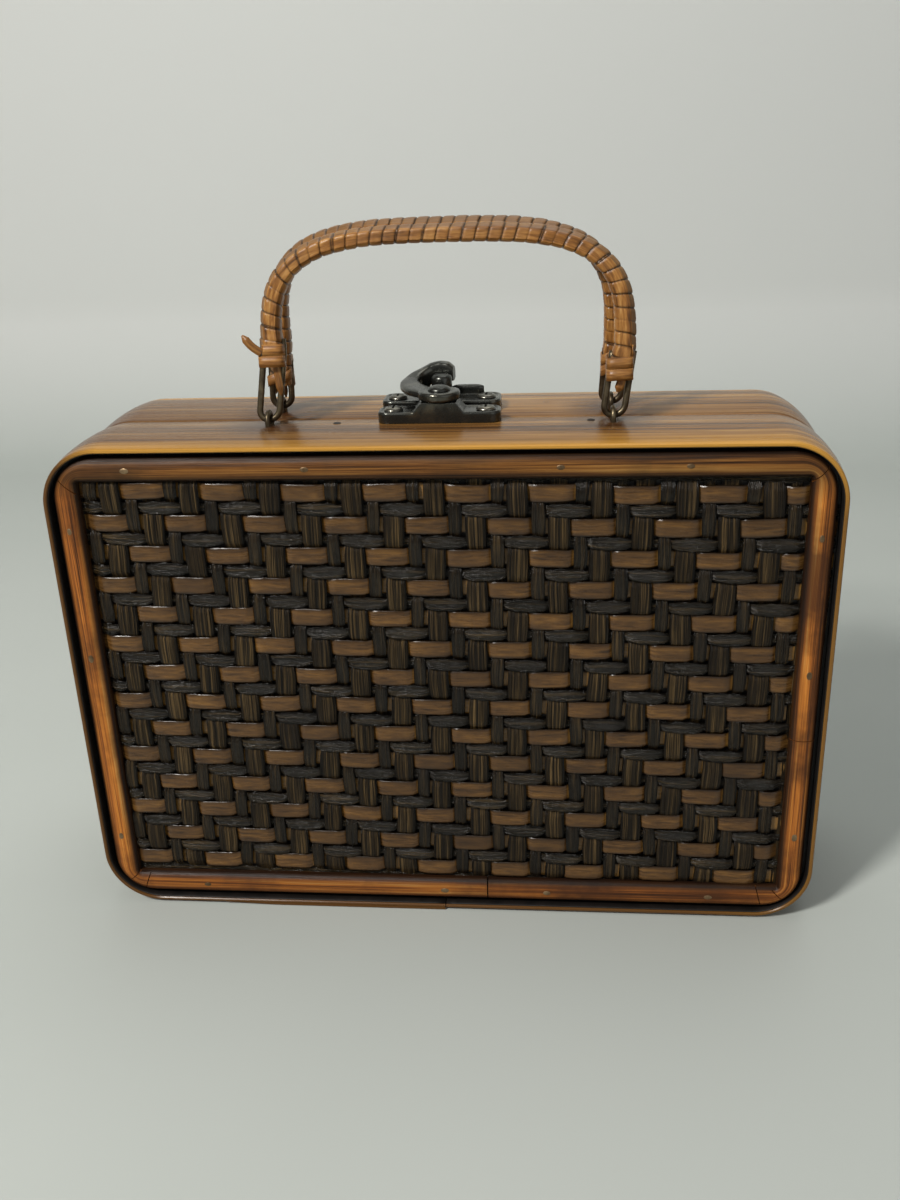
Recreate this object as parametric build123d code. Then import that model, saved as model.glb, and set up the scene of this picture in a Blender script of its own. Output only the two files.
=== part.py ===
"""Basket box bag: two bent bamboo rims with woven panels, hinged below, clasped above, two wrapped handles."""
from build123d import *
import os
from math import atan2, ceil, cos, degrees, pi, radians, sin, sqrt

# Case: x across, y from the front (-) to the back (+), z up, origin under the middle of the base
BOX_WIDTH = 240.0
BOX_HEIGHT = 163.5
HALF_DEPTH = 34.5
CORNER_RADIUS = 19.2
BEND_STEPS = 8  # flats round each bend
SEAM_GAP = 0.3
OVERRUN = 1.0  # how far every cutter runs past what it cuts
FLAT_SHARE = 1e-6  # twist below which four corners count as flat

# Rim bands: bent strips, flat along the middle and falling away to both edges
BAND_THICKNESS = 2.2
BAND_CROWN = 1.0
BAND_LAND = 12.5
BAND_JOINT_X = -1.5
BAND_JOINT_GAP = 0.3

# Half-round moulding over the edge of each woven panel
FRAME_RECESS = 1.6  # channel between the rim and the moulding
MOULDING_WIDTH = 7.8
MOULDING_HEIGHT = 3.4
MOULDING_EDGE = 0.9
MOULDING_CORNER = 13.5
MOULDING_FACETS = 5
MOULDING_SETBACK = 0.5
MOULDING_JOINT_X = 12.9
MOULDING_JOINT_GAP = 0.4

# Batten frame inside each rim, which carries the panel
BATTEN_WIDTH = 8.0
BATTEN_THICKNESS = 4.0
PANEL_CLEARANCE = 0.2

# Woven panel: a wall with ribbon floats, two over and two under, and a round weft along every row between
PANEL_THICKNESS = 1.6
NARROW_WARP = 3.7
WIDE_WARP = 5.7
WARP_GAP = 1.4
RIBBON_WEFT = 5.9
ROUND_WEFT = 4.0
WEFT_GAP = 0.2
RIBBON_RISE = 0.9
ROUND_RISE = 0.7
FLOAT_SLOPE = 1.2  # run of the sloping ends of a float
FLOAT_CLEARANCE = 0.2
WEAVE_TILT = 0.8  # degrees, clockwise as seen from the front
WEAVE_SHIFT_X = 2.0
WEAVE_SHIFT_Z = 2.0

# Butt hinges in the valley between the rims, under the box
HINGE_X = 70.0
HINGE_WIDTH = 22.0
KNUCKLE_RADIUS = 0.95
KNUCKLE_SIDES = 10
CENTRE_KNUCKLE = 8.0
KNUCKLE_GAP = 0.3
HINGE_PIN_RADIUS = 0.45
RUNNING_CLEARANCE = 0.05
LEAF_REACH = 7.5
LEAF_THICKNESS = 0.4
LEAF_DROP = 0.25  # lower face of a leaf below the hinge axis
LEAF_CLEARANCE = 0.1

# Swing clasp plates and screws
PLATE_LENGTH = 38.0
PLATE_CORNER = 3.5
PLATE_SEAT = 0.3  # depth that the plates are let into the rims
EAR_HEIGHT = 3.4
BASE_SET = 1.0  # seam to the nearer edge of the base plate
BASE_DEPTH = 10.0
BLOCK_HEIGHT = 6.2
BLOCK_TOP = 11.8
BLOCK_FOOT = 18.0
KEEPER_SET = 4.5
KEEPER_DEPTH = 13.0
KEEPER_SHIFT = -0.8
RIB_START = 4.4
RIB_LENGTH = 10.4
RIB_WIDTH = 2.2
RIB_HEIGHT = 6.5
RIB_EDGE = 0.4  # rib to the rear edge of the keeper plate
SCREW_SPREAD = 14.3
SCREW_HEAD_RADIUS = 2.7
SCREW_HEAD_HEIGHT = 0.9
SCREW_CROWN_SHARE = 0.6
SCREW_SHANK_RADIUS = 1.1
SCREW_CLEARANCE = 0.1
SCREW_CROSS_LENGTH = 2.8
SCREW_CROSS_WIDTH = 0.7
SCREW_CROSS_DEPTH = 0.5
SCREW_LENGTH = 5.2
SCREW_SIDES = 10

# Stud, rivet and arm of the clasp
STUD_SET = 11.0  # seam to the middle of the stud
STUD_NECK_RADIUS = 2.1
STUD_HEAD_RADIUS = 3.35
STUD_HEAD_BASE = 7.6
STUD_TOP = 10.8
STUD_FLARE_SHARE = 0.2
DOME_SHARES = ((1.0, 0.3), (0.8, 0.75), (0.3, 1.0))
TURNED_SIDES = 12
PIVOT_SET = 5.5  # seam to the pivot of the arm
DISC_RADIUS = 6.5
DISC_HEIGHT = 2.8
DISC_LIFT = 0.1
DISC_SIDES = 28
RIVET_SHANK_RADIUS = 1.8
RIVET_HEAD_RADIUS = 3.5
RIVET_HEAD_HEIGHT = 1.4
ARM_PASS = 0.4  # room between the stud and the opening of the arm
ARCH_WALL = 2.5
ARCH_TOP = 14.6
ARCH_FOOT = 7.2
CREST_RADIUS = 4.9
ARCH_LEG = 1.7
LOCK_SWING = 12.0  # degrees from the rest place to the locked place
ARM_LEG_WIDTH = 3.2
ARM_RAMP_START = 7.0  # pivot to the foot of the rising leg
ARM_RAMP_SHARE = 0.9
ARM_LOW_SHARE = 0.62

# Staples that hold the handles
STAPLE_X = 53.0
STAPLE_SET = 9.5
STAPLE_WIRE = 1.6
STAPLE_GAP = 3.4
STAPLE_RISE = 2.9
STAPLE_DEPTH = 1.9
STAPLE_BEND_SHARE = 0.45
WIRE_SIDES = 6

# Handles: a split cane core, a wrapped strip and a wire loop at each foot
PIVOT_RISE = 1.5
HANDLE_LEAN = 5.9  # degrees, towards the seam
HANDLE_TOP = 56.3  # pivot to the middle of the arch's top
ARCH_RISE = 34.0
ARCH_HALF_SPAN = 53.6
ARCH_POWER = 3.4
ARCH_SHIFT = 2.6
ARCH_STEPS = 120
FRONT_FEET = (17.5, 12.0)  # pivot to the end of the wrapping, left and right
BACK_FEET = (8.0, 10.0)
WRAP_PITCH = 4.25
WRAP_GROOVE = 0.45
WRAP_CREST_SHARE = 0.5
TOP_RADIAL = 2.75
LEG_RADIAL = 3.35
WRAP_HALF_DEPTH = 3.35
WRAP_CHAMFER = 0.9
COLLAR_LENGTH = 8.5
COLLAR_SWELL = 0.8
CORE_HALF = 1.5
CORE_STEPS = 12
CORE_GAP = 0.5
LOOP_WIRE = 2.0
LOOP_HALF_WIDTH = 3.1
LOOP_EMBED = 7.0
LOOP_BEND_STEPS = 4

# Values worked out from the sizes above
TOP_Z = BOX_HEIGHT
HALF_WIDTH = BOX_WIDTH / 2
HALF_HEIGHT = BOX_HEIGHT / 2
SEAM_EDGE = SEAM_GAP / 2
CHANNEL = BAND_THICKNESS + FRAME_RECESS
WINDOW_HALF_X = HALF_WIDTH - CHANNEL - MOULDING_WIDTH
WINDOW_HALF_Z = HALF_HEIGHT - CHANNEL - MOULDING_WIDTH
PANEL_FACE = HALF_DEPTH - MOULDING_SETBACK - MOULDING_HEIGHT
BATTEN_FACE = PANEL_FACE - PANEL_THICKNESS
INNER_HALF_X = HALF_WIDTH - BAND_THICKNESS - PANEL_CLEARANCE
INNER_HALF_Z = HALF_HEIGHT - BAND_THICKNESS - PANEL_CLEARANCE
CORNER_CUT = CORNER_RADIUS - BAND_THICKNESS
HINGE_Z = BAND_CROWN
PLATE_BASE = TOP_Z - PLATE_SEAT
PIVOT_Z = TOP_Z + PIVOT_RISE
BASE_SCREWS = [(side * SCREW_SPREAD, -BASE_SET - BASE_DEPTH / 2) for side in (-1, 1)]
KEEPER_SCREWS = [(KEEPER_SHIFT + side * SCREW_SPREAD, STUD_SET) for side in (-1, 1)]
PIVOT = (0, -PIVOT_SET)
STUD = (KEEPER_SHIFT, STUD_SET)

# Face plane: local x is x, local y is height above the middle, and its normal points out of the front
FACE = Plane(origin=(0, 0, HALF_HEIGHT), x_dir=(1, 0, 0), z_dir=(0, -1, 0))


def to_back(shape):
    """The same piece on the back half."""
    return mirror(shape, about=Plane.XZ)


def face_plane(depth):
    """Plane parallel to the front, at a distance from the seam."""
    return FACE.offset(depth)


def box_between(low, high):
    """A box from its lowest to its highest corner."""
    size = [b - a for a, b in zip(low, high)]
    return Pos(*low) * Box(*size, align=(Align.MIN, Align.MIN, Align.MIN))


def flat_faces(corners):
    """One flat face over the corners, or two triangles where they don't lie in one plane."""
    a, b, c, d = corners
    twist = (b - a).cross(c - a).dot(d - a)
    size = (c - a).length * (d - b).length
    if abs(twist) < FLAT_SHARE * size * (b - a).length:
        return [Face(Wire.make_polygon(corners, close=True))]
    return [Face(Wire.make_polygon(points, close=True)) for points in ((a, b, c), (a, c, d))]


def ringed_solid(rings):
    """A closed solid through a row of rings with the same number of corners, with flat facets."""
    count = len(rings[0])
    faces = [Face(Wire.make_polygon(ring, close=True)) for ring in (rings[0], rings[-1])]
    for ring, other in zip(rings, rings[1:]):
        for index in range(count):
            after = (index + 1) % count
            faces += flat_faces((ring[index], ring[after], other[after], other[index]))
    return Solid(Shell(faces))


def polygon_points(radius, sides, z):
    """Corners of a level regular polygon round the z axis."""
    angles = [2 * pi * (index + 0.5) / sides for index in range(sides)]
    return [Vector(radius * cos(angle), radius * sin(angle), z) for angle in angles]


def turned(levels, sides):
    """A small turned piece with flat facets, from pairs of radius and height."""
    return ringed_solid([polygon_points(radius, sides, z) for radius, z in levels])


def round_hole(radius, sides, low, high):
    """A faceted cutter whose flats stand at the radius."""
    reach = radius / cos(pi / sides)
    return turned([(reach, low), (reach, high)], sides)


# Rim bands

def bent_outline(width, height, radius):
    """A rectangle with its corners bent round in short flats."""
    points = []
    for quarter, (side_x, side_z) in enumerate(((1, 1), (-1, 1), (-1, -1), (1, -1))):
        for step in range(BEND_STEPS + 1):
            angle = pi / 2 * (quarter + step / BEND_STEPS)
            x = side_x * (width / 2 - radius) + radius * cos(angle)
            z = side_z * (height / 2 - radius) + radius * sin(angle)
            points.append((x, z))
    return Polygon(*points, align=None)


def hinge_cutters():
    """Room under the seam for the hinge leaves and knuckles."""
    cutters = []
    half = HINGE_WIDTH / 2 + LEAF_CLEARANCE
    leaf_top = HINGE_Z - LEAF_DROP + LEAF_THICKNESS
    reach = LEAF_REACH + LEAF_CLEARANCE
    notch = KNUCKLE_RADIUS + KNUCKLE_GAP
    for x in (-HINGE_X, HINGE_X):
        cutters.append(box_between((x - half, -reach, -OVERRUN), (x + half, 0, leaf_top)))
        cutters.append(box_between((x - half, -notch, -OVERRUN), (x + half, 0, BAND_THICKNESS + OVERRUN)))
    return cutters


def rim_band(seat_set, seat_depth, seat_shift):
    """A bent band with its butt joint below, the hinge pockets and the seat of a clasp plate."""
    shoulder = (HALF_DEPTH - SEAM_EDGE - BAND_LAND) / 2
    slope = degrees(atan2(BAND_CROWN, shoulder))
    outer = bent_outline(BOX_WIDTH, BOX_HEIGHT, CORNER_RADIUS)
    inner_width = BOX_WIDTH - 2 * BAND_THICKNESS
    inner_height = BOX_HEIGHT - 2 * BAND_THICKNESS
    inner = bent_outline(inner_width, inner_height, CORNER_RADIUS - BAND_THICKNESS)
    land = face_plane(SEAM_EDGE + shoulder)
    front = extrude(land.offset(BAND_LAND) * outer, shoulder, taper=slope)
    rear = mirror(front, about=land.offset(BAND_LAND / 2))
    hollow = extrude(FACE * inner, HALF_DEPTH + OVERRUN)
    half_joint = BAND_JOINT_GAP / 2
    joint_low = (BAND_JOINT_X - half_joint, -HALF_DEPTH - OVERRUN, -OVERRUN)
    joint_high = (BAND_JOINT_X + half_joint, 0, BAND_THICKNESS + OVERRUN)
    half_seat = PLATE_LENGTH / 2
    seat_low = (seat_shift - half_seat, -seat_set - seat_depth, PLATE_BASE)
    seat_high = (seat_shift + half_seat, 0, TOP_Z + OVERRUN)
    cutters = [hollow, box_between(joint_low, joint_high), box_between(seat_low, seat_high)]
    return extrude(land * outer, BAND_LAND) + [front, rear] - [*cutters, *hinge_cutters()]


# Panels, mouldings and battens

def weave_floats():
    """Ribbon floats and through-running round wefts: low corner, length, width and rise of each."""
    warp_pair = NARROW_WARP + WIDE_WARP + 2 * WARP_GAP
    weft_pair = RIBBON_WEFT + ROUND_WEFT + 2 * WEFT_GAP
    repeat = 2 * warp_pair
    row_pairs = ceil(2 * WINDOW_HALF_Z / weft_pair) + 1
    repeats = ceil(WINDOW_HALF_X / repeat) + 1
    top = WINDOW_HALF_Z + WEAVE_SHIFT_Z
    reach = repeats * repeat
    floats = []
    for pair in range(row_pairs):
        ribbon_low = top - pair * weft_pair - RIBBON_WEFT
        round_low = ribbon_low - WEFT_GAP - ROUND_WEFT
        floats.append((-reach, round_low, 2 * reach, ROUND_WEFT, ROUND_RISE))
        for turn in range(-repeats - 1, repeats + 1):
            ribbon_x = WEAVE_SHIFT_X + turn * repeat + (pair % 2) * warp_pair
            floats.append((ribbon_x, ribbon_low, warp_pair, RIBBON_WEFT, RIBBON_RISE))
    return floats


def float_solid(x, z, length, width, rise):
    """One float: a hipped ridge with sloping ends."""
    a = Vector(x, z, 0)
    b = Vector(x + length, z, 0)
    c = Vector(x + length, z + width, 0)
    d = Vector(x, z + width, 0)
    crest_start = Vector(x + FLOAT_SLOPE, z + width / 2, rise)
    crest_end = Vector(x + length - FLOAT_SLOPE, z + width / 2, rise)
    sides = [
        (a, b, crest_end, crest_start),
        (c, d, crest_start, crest_end),
        (b, c, crest_end),
        (d, a, crest_start),
        (a, d, c, b),
    ]
    return Solid(Shell([Face(Wire.make_polygon(points, close=True)) for points in sides]))


def cut_outline(half_x, half_z):
    """A rectangle with its corners cut so that it passes inside the bends of the rim."""
    cut_x = half_x - CORNER_CUT
    cut_z = half_z - CORNER_CUT
    quarter = [(half_x, cut_z), (cut_x, half_z)]
    left = [(-x, z) for x, z in reversed(quarter)]
    upper = quarter + left
    lower = [(x, -z) for x, z in reversed(upper)]
    return Polygon(*upper, *lower, align=None)


def woven_panel():
    """The panel: one wall with every float of the weave that shows inside the moulding."""
    wall = extrude(face_plane(BATTEN_FACE) * cut_outline(INNER_HALF_X, INNER_HALF_Z), PANEL_THICKNESS)
    half_x = WINDOW_HALF_X - FLOAT_CLEARANCE
    half_z = WINDOW_HALF_Z - FLOAT_CLEARANCE
    rise = max(RIBBON_RISE, ROUND_RISE)
    window = Box(2 * half_x, 2 * half_z, 2 * (rise + OVERRUN))
    strands = []
    for item in weave_floats():
        strand = Rot(0, 0, -WEAVE_TILT) * float_solid(*item)
        box = strand.bounding_box()
        outside_x = box.min.X >= half_x or box.max.X <= -half_x
        outside_z = box.min.Y >= half_z or box.max.Y <= -half_z
        inside_x = box.min.X > -half_x and box.max.X < half_x
        inside_z = box.min.Y > -half_z and box.max.Y < half_z
        if outside_x or outside_z:
            continue
        if inside_x and inside_z:
            strands.append(strand)
            continue
        strands.extend((strand & window).solids())
    return wall + [face_plane(PANEL_FACE) * strand for strand in strands]


def moulding():
    """A half-round strip mitred round the panel's edge, with its butt joint in the bottom run."""
    section = [(0, PANEL_FACE)]
    for step in range(MOULDING_FACETS + 1):
        angle = pi * step / MOULDING_FACETS
        out = MOULDING_WIDTH / 2 * (1 - cos(angle))
        rise = MOULDING_EDGE + (MOULDING_HEIGHT - MOULDING_EDGE) * sin(angle)
        section.append((out, PANEL_FACE + rise))
    section.append((MOULDING_WIDTH, PANEL_FACE))
    gap = MOULDING_JOINT_GAP / 2
    stations = [
        (MOULDING_JOINT_X + gap, -WINDOW_HALF_Z, 0, -1),
        (WINDOW_HALF_X, -WINDOW_HALF_Z, 1, -1),
        (WINDOW_HALF_X, WINDOW_HALF_Z, 1, 1),
        (-WINDOW_HALF_X, WINDOW_HALF_Z, -1, 1),
        (-WINDOW_HALF_X, -WINDOW_HALF_Z, -1, -1),
        (MOULDING_JOINT_X - gap, -WINDOW_HALF_Z, 0, -1),
    ]
    rings = []
    for x, z, side_x, side_z in stations:
        rings.append([FACE.from_local_coords(Vector(x + side_x * out, z + side_z * out, depth))
                      for out, depth in section])
    strip = ringed_solid(rings)
    outer_x = 2 * (WINDOW_HALF_X + MOULDING_WIDTH)
    outer_z = 2 * (WINDOW_HALF_Z + MOULDING_WIDTH)
    rounded = RectangleRounded(outer_x, outer_z, MOULDING_CORNER)
    return strip & extrude(FACE * rounded, HALF_DEPTH)


def batten_frame():
    """The flat frame behind the panel, inside the rim."""
    outer = cut_outline(INNER_HALF_X + PANEL_CLEARANCE, INNER_HALF_Z + PANEL_CLEARANCE)
    inner = Rectangle(2 * (INNER_HALF_X - BATTEN_WIDTH), 2 * (INNER_HALF_Z - BATTEN_WIDTH))
    return extrude(face_plane(BATTEN_FACE) * (outer - inner), -BATTEN_THICKNESS)


# Hinges

def hinge_roll(x_from, x_to, radius):
    """A faceted roll along the hinge axis."""
    plane = Plane(origin=(x_from, 0, HINGE_Z), x_dir=(0, 1, 0), z_dir=(1, 0, 0))
    return plane * turned([(radius, 0), (radius, x_to - x_from)], KNUCKLE_SIDES)


def hinge_leaf(x, is_front):
    """A leaf that lies in its pocket, with the outer knuckles in front and the middle one behind."""
    half = HINGE_WIDTH / 2
    half_centre = CENTRE_KNUCKLE / 2
    low = HINGE_Z - LEAF_DROP
    high = low + LEAF_THICKNESS
    room = KNUCKLE_RADIUS + KNUCKLE_GAP
    leaf = box_between((x - half, -LEAF_REACH, low), (x + half, 0, high))
    if is_front:
        inner = half_centre + KNUCKLE_GAP
        own = [(x - half, x - inner), (x + inner, x + half)]
        other = [(x - inner, x + inner)]
    else:
        own = [(x - half_centre, x + half_centre)]
        other = [(x - half, x - half_centre), (x + half_centre, x + half)]
    for x_from, x_to in other:
        leaf -= box_between((x_from, -room, low - OVERRUN), (x_to, OVERRUN, high + OVERRUN))
    for x_from, x_to in own:
        leaf += hinge_roll(x_from, x_to, KNUCKLE_RADIUS)
    bore = (HINGE_PIN_RADIUS + RUNNING_CLEARANCE) / cos(pi / KNUCKLE_SIDES)
    return leaf - hinge_roll(x - half - OVERRUN, x + half + OVERRUN, bore)


def hinge_pin(x):
    """The pin of one hinge."""
    return hinge_roll(x - HINGE_WIDTH / 2, x + HINGE_WIDTH / 2, HINGE_PIN_RADIUS)


# Clasp

def plate_outline(set_back, depth, shift):
    """Plan of a clasp plate in front of the seam."""
    corners = eight_corners(PLATE_LENGTH / 2, depth / 2, PLATE_CORNER)
    return Pos(shift, -set_back - depth / 2) * Polygon(*corners, align=None)


def plate_holes(places):
    """Clearance holes for the screws of a plate."""
    radius = SCREW_SHANK_RADIUS + SCREW_CLEARANCE
    hole = round_hole(radius, SCREW_SIDES, PLATE_BASE - OVERRUN, TOP_Z + EAR_HEIGHT + OVERRUN)
    return [Pos(x, y, 0) * hole for x, y in places]


def screws(places):
    """Cross-head screws, seated on the ears of a plate."""
    seat = TOP_Z + EAR_HEIGHT
    crown = seat + SCREW_HEAD_HEIGHT
    head = turned([(SCREW_HEAD_RADIUS, seat), (SCREW_HEAD_RADIUS * SCREW_CROWN_SHARE, crown)], SCREW_SIDES)
    slot = Box(SCREW_CROSS_LENGTH, SCREW_CROSS_WIDTH, 2 * SCREW_CROSS_DEPTH)
    cross = slot + Rot(0, 0, 90) * slot
    shank = turned([(SCREW_SHANK_RADIUS, seat - SCREW_LENGTH), (SCREW_SHANK_RADIUS, seat)], SCREW_SIDES)
    screw = head + shank - Pos(0, 0, crown) * cross
    return Compound(children=[Pos(x, y, 0) * screw for x, y in places])


def base_plate():
    """Front plate: two ears and a raised block that carries the pivot."""
    half = PLATE_LENGTH / 2
    foot = BLOCK_FOOT / 2
    top = BLOCK_TOP / 2
    ear = TOP_Z + EAR_HEIGHT
    crown = TOP_Z + BLOCK_HEIGHT
    outline = Polygon(
        (-half, PLATE_BASE),
        (half, PLATE_BASE),
        (half, ear),
        (foot, ear),
        (top, crown),
        (-top, crown),
        (-foot, ear),
        (-half, ear),
        align=None,
    )
    bar = extrude(Plane.XZ * outline, BASE_SET + BASE_DEPTH)
    plan = Pos(0, 0, PLATE_BASE) * plate_outline(BASE_SET, BASE_DEPTH, 0)
    plate = bar & extrude(plan, BLOCK_HEIGHT + PLATE_SEAT)
    bore_radius = RIVET_SHANK_RADIUS + RUNNING_CLEARANCE
    bore = round_hole(bore_radius, TURNED_SIDES, PLATE_BASE - OVERRUN, crown + OVERRUN)
    return plate - [*plate_holes(BASE_SCREWS), Pos(*PIVOT, 0) * bore]


def keeper_plate():
    """Rear plate: a flat with a stop rib along its rear edge and a hole for the stud."""
    outline = mirror(plate_outline(KEEPER_SET, KEEPER_DEPTH, KEEPER_SHIFT), about=Plane.XZ)
    plate = extrude(Pos(0, 0, PLATE_BASE) * outline, EAR_HEIGHT + PLATE_SEAT)
    rib_y = KEEPER_SET + KEEPER_DEPTH - RIB_EDGE - RIB_WIDTH / 2
    rib_x = KEEPER_SHIFT + RIB_START + RIB_LENGTH / 2
    rib = Pos(rib_x, rib_y, TOP_Z) * SlotOverall(RIB_LENGTH, RIB_WIDTH)
    plate += extrude(rib, RIB_HEIGHT)
    neck = [(STUD_NECK_RADIUS, PLATE_BASE - OVERRUN), (STUD_NECK_RADIUS, TOP_Z + EAR_HEIGHT + OVERRUN)]
    return plate - [*plate_holes(KEEPER_SCREWS), Pos(*STUD, 0) * turned(neck, TURNED_SIDES)]


def dome_levels(radius, base, height):
    """Radius and height of the rings of a domed head."""
    return [(radius, base)] + [(radius * reach, base + height * rise) for reach, rise in DOME_SHARES]


def stud():
    """Turned stud with a domed head, riveted into the keeper plate."""
    head = STUD_TOP - STUD_HEAD_BASE
    neck_top = TOP_Z + STUD_HEAD_BASE - head * STUD_FLARE_SHARE
    levels = [(STUD_NECK_RADIUS, PLATE_BASE), (STUD_NECK_RADIUS, neck_top)]
    levels += dome_levels(STUD_HEAD_RADIUS, TOP_Z + STUD_HEAD_BASE, head)
    return Pos(*STUD, 0) * turned(levels, TURNED_SIDES)


def rivet():
    """Domed rivet that holds the arm to the base plate."""
    head_base = TOP_Z + BLOCK_HEIGHT + 2 * DISC_LIFT + DISC_HEIGHT
    shank = turned([(RIVET_SHANK_RADIUS, PLATE_BASE), (RIVET_SHANK_RADIUS, head_base)], TURNED_SIDES)
    head = turned(dome_levels(RIVET_HEAD_RADIUS, head_base, RIVET_HEAD_HEIGHT), TURNED_SIDES)
    return Pos(*PIVOT, 0) * (shank + head)


def polar(radius, angle):
    """Point round the pivot, with the angle in degrees from the back, clockwise from above."""
    return (radius * sin(radians(angle)), radius * cos(radians(angle)))


def clasp_arm():
    """The arm: a disc on the pivot, a rising leg and an arched wall that the stud passes under."""
    stud_x = STUD[0] - PIVOT[0]
    stud_y = STUD[1] - PIVOT[1]
    reach = sqrt(stud_x**2 + stud_y**2)
    clear = STUD_HEAD_RADIUS + ARM_PASS
    inner = reach + clear
    outer = inner + ARCH_WALL
    span = 2 * outer
    leg_angle = degrees(atan2(stud_x, stud_y) - clear / reach) - LOCK_SWING
    right_x = stud_x + clear + ARCH_LEG
    right_angle = degrees(right_x / outer)
    left_angle = leg_angle - degrees(ARM_LEG_WIDTH / outer)
    disc_base = BLOCK_HEIGHT + DISC_LIFT
    disc_top = disc_base + DISC_HEIGHT

    sector = Polygon((0, 0), polar(span, left_angle), polar(span, right_angle), align=None)
    wall = (Circle(outer) - Circle(inner)) & sector
    leg = Rot(0, 0, -leg_angle) * Pos(-ARM_LEG_WIDTH / 2, inner / 2) * Rectangle(ARM_LEG_WIDTH, inner)
    blank = extrude(Pos(0, 0, disc_base) * (wall + leg), ARCH_TOP - disc_base)

    crest = Pos(right_x - CREST_RADIUS, ARCH_TOP - CREST_RADIUS) * Circle(CREST_RADIUS)
    low_bar = Polygon(
        (-outer, disc_base),
        (right_x, disc_base),
        (right_x, disc_top),
        (-outer * ARM_LOW_SHARE, disc_top),
        align=None,
    )
    elevation = make_hull((crest + low_bar).edges())
    blank &= extrude(Plane.XZ * elevation, span, both=True)
    ramp = Polygon(
        (-outer, disc_base),
        (span, disc_base),
        (span, ARCH_TOP),
        (inner * ARM_RAMP_SHARE, ARCH_TOP),
        (ARM_RAMP_START, disc_top),
        (-outer, disc_top),
        align=None,
    )
    blank &= extrude(Plane.YZ * ramp, span, both=True)

    gate = Pos(stud_x, inner, 0) * Box(2 * clear, 2 * ARCH_WALL, 2 * (STUD_TOP + ARM_PASS))
    undercut = extrude(Circle(outer + OVERRUN) - Circle(inner), ARCH_FOOT)
    disc = turned([(DISC_RADIUS, disc_base), (DISC_RADIUS, disc_top)], DISC_SIDES)
    bore = round_hole(RIVET_SHANK_RADIUS + RUNNING_CLEARANCE, TURNED_SIDES, 0, ARCH_TOP)
    return Pos(*PIVOT, TOP_Z) * (blank - [gate, undercut] + disc - bore)


# Staples and handles

def path_frames(points):
    """Each point of a path with its direction, which halves the turn at a bend."""
    frames = []
    for index, point in enumerate(points):
        before = points[max(index - 1, 0)]
        after = points[min(index + 1, len(points) - 1)]
        run_in = (point - before).normalized() if index else (after - point).normalized()
        run_out = (after - point).normalized() if index < len(points) - 1 else run_in
        frames.append((point, (run_in + run_out).normalized()))
    return frames


def wire_solid(points, binormal, diameter):
    """A bent wire through the points of a path in one plane."""
    rings = []
    for point, tangent in path_frames(points):
        normal = binormal.cross(tangent).normalized()
        flat = [(corner.X, corner.Y) for corner in polygon_points(diameter / 2, WIRE_SIDES, 0)]
        rings.append([point + normal * out + binormal * side for out, side in flat])
    return ringed_solid(rings)


def staple(x):
    """A staple across the seam direction, with both legs driven into the rim."""
    half = (STAPLE_GAP + STAPLE_WIRE) / 2
    crown = TOP_Z + STAPLE_RISE + STAPLE_WIRE / 2
    bend = half * STAPLE_BEND_SHARE
    low = TOP_Z - STAPLE_DEPTH
    route = [(-half, low), (-half, crown - bend), (bend - half, crown), (half - bend, crown)]
    route += [(half, crown - bend), (half, low)]
    points = [Vector(x, -STAPLE_SET + y, z) for y, z in route]
    return wire_solid(points, Vector(1, 0, 0), STAPLE_WIRE)


def shifted(across, up):
    """The arch stands a little to the right of its staples."""
    share = max(0, min(1, up / (HANDLE_TOP - ARCH_RISE)))
    return Vector(across + ARCH_SHIFT * share, 0, up)


def arch_point(angle):
    """Middle line of a handle's arch, round from the left foot (180 degrees) to the right foot (0)."""
    c = cos(radians(angle))
    s = sin(radians(angle))
    across = ARCH_HALF_SPAN * abs(c) ** (2 / ARCH_POWER) * (1 if c >= 0 else -1)
    up = ARCH_RISE * abs(s) ** (2 / ARCH_POWER)
    return shifted(across, HANDLE_TOP - ARCH_RISE + up)


def arch_route(feet):
    """Finely spaced points of a handle's middle line, from the left foot to the right foot."""
    left_foot = shifted(-STAPLE_X, feet[0])
    right_foot = shifted(STAPLE_X, feet[1])
    arch = [arch_point(180 * (1 - step / ARCH_STEPS)) for step in range(ARCH_STEPS + 1)]
    middle = len(arch) // 2
    rising = [point for point in arch[:middle] if point.Z > left_foot.Z]
    falling = [point for point in arch[middle:] if point.Z > right_foot.Z]
    return [left_foot, *rising, *falling, right_foot]


def route_length(route):
    """Length of a route along its points."""
    return sum((end - start).length for start, end in zip(route, route[1:]))


def along(route, distance):
    """Point and direction at a distance along a route."""
    for start, end in zip(route, route[1:]):
        run = (end - start).length
        if distance <= run or end is route[-1]:
            return start + (end - start) * min(distance / run, 1), (end - start).normalized()
        distance -= run


def eight_corners(half_out, half_side, chamfer):
    """Corners of a rectangle with cut corners."""
    quarter = [(half_out, half_side - chamfer), (half_out - chamfer, half_side)]
    upper = quarter + [(-out, side) for out, side in reversed(quarter)]
    return upper + [(out, -side) for out, side in reversed(upper)]


def six_corners(half_out, half_side, chamfer):
    """Corners of a strip's section with flat faces to the front and back and a ridge along the middle."""
    flat = half_out - chamfer
    return [(half_out, 0), (flat, half_side), (-flat, half_side), (-half_out, 0), (-flat, -half_side), (flat, -half_side)]


def section_ring(route, distance, corners):
    """The corners of a section, set across a route at a distance along it."""
    point, tangent = along(route, distance)
    binormal = Vector(0, 1, 0)
    normal = binormal.cross(tangent).normalized()
    return [point + normal * out + binormal * side for out, side in corners]


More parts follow.
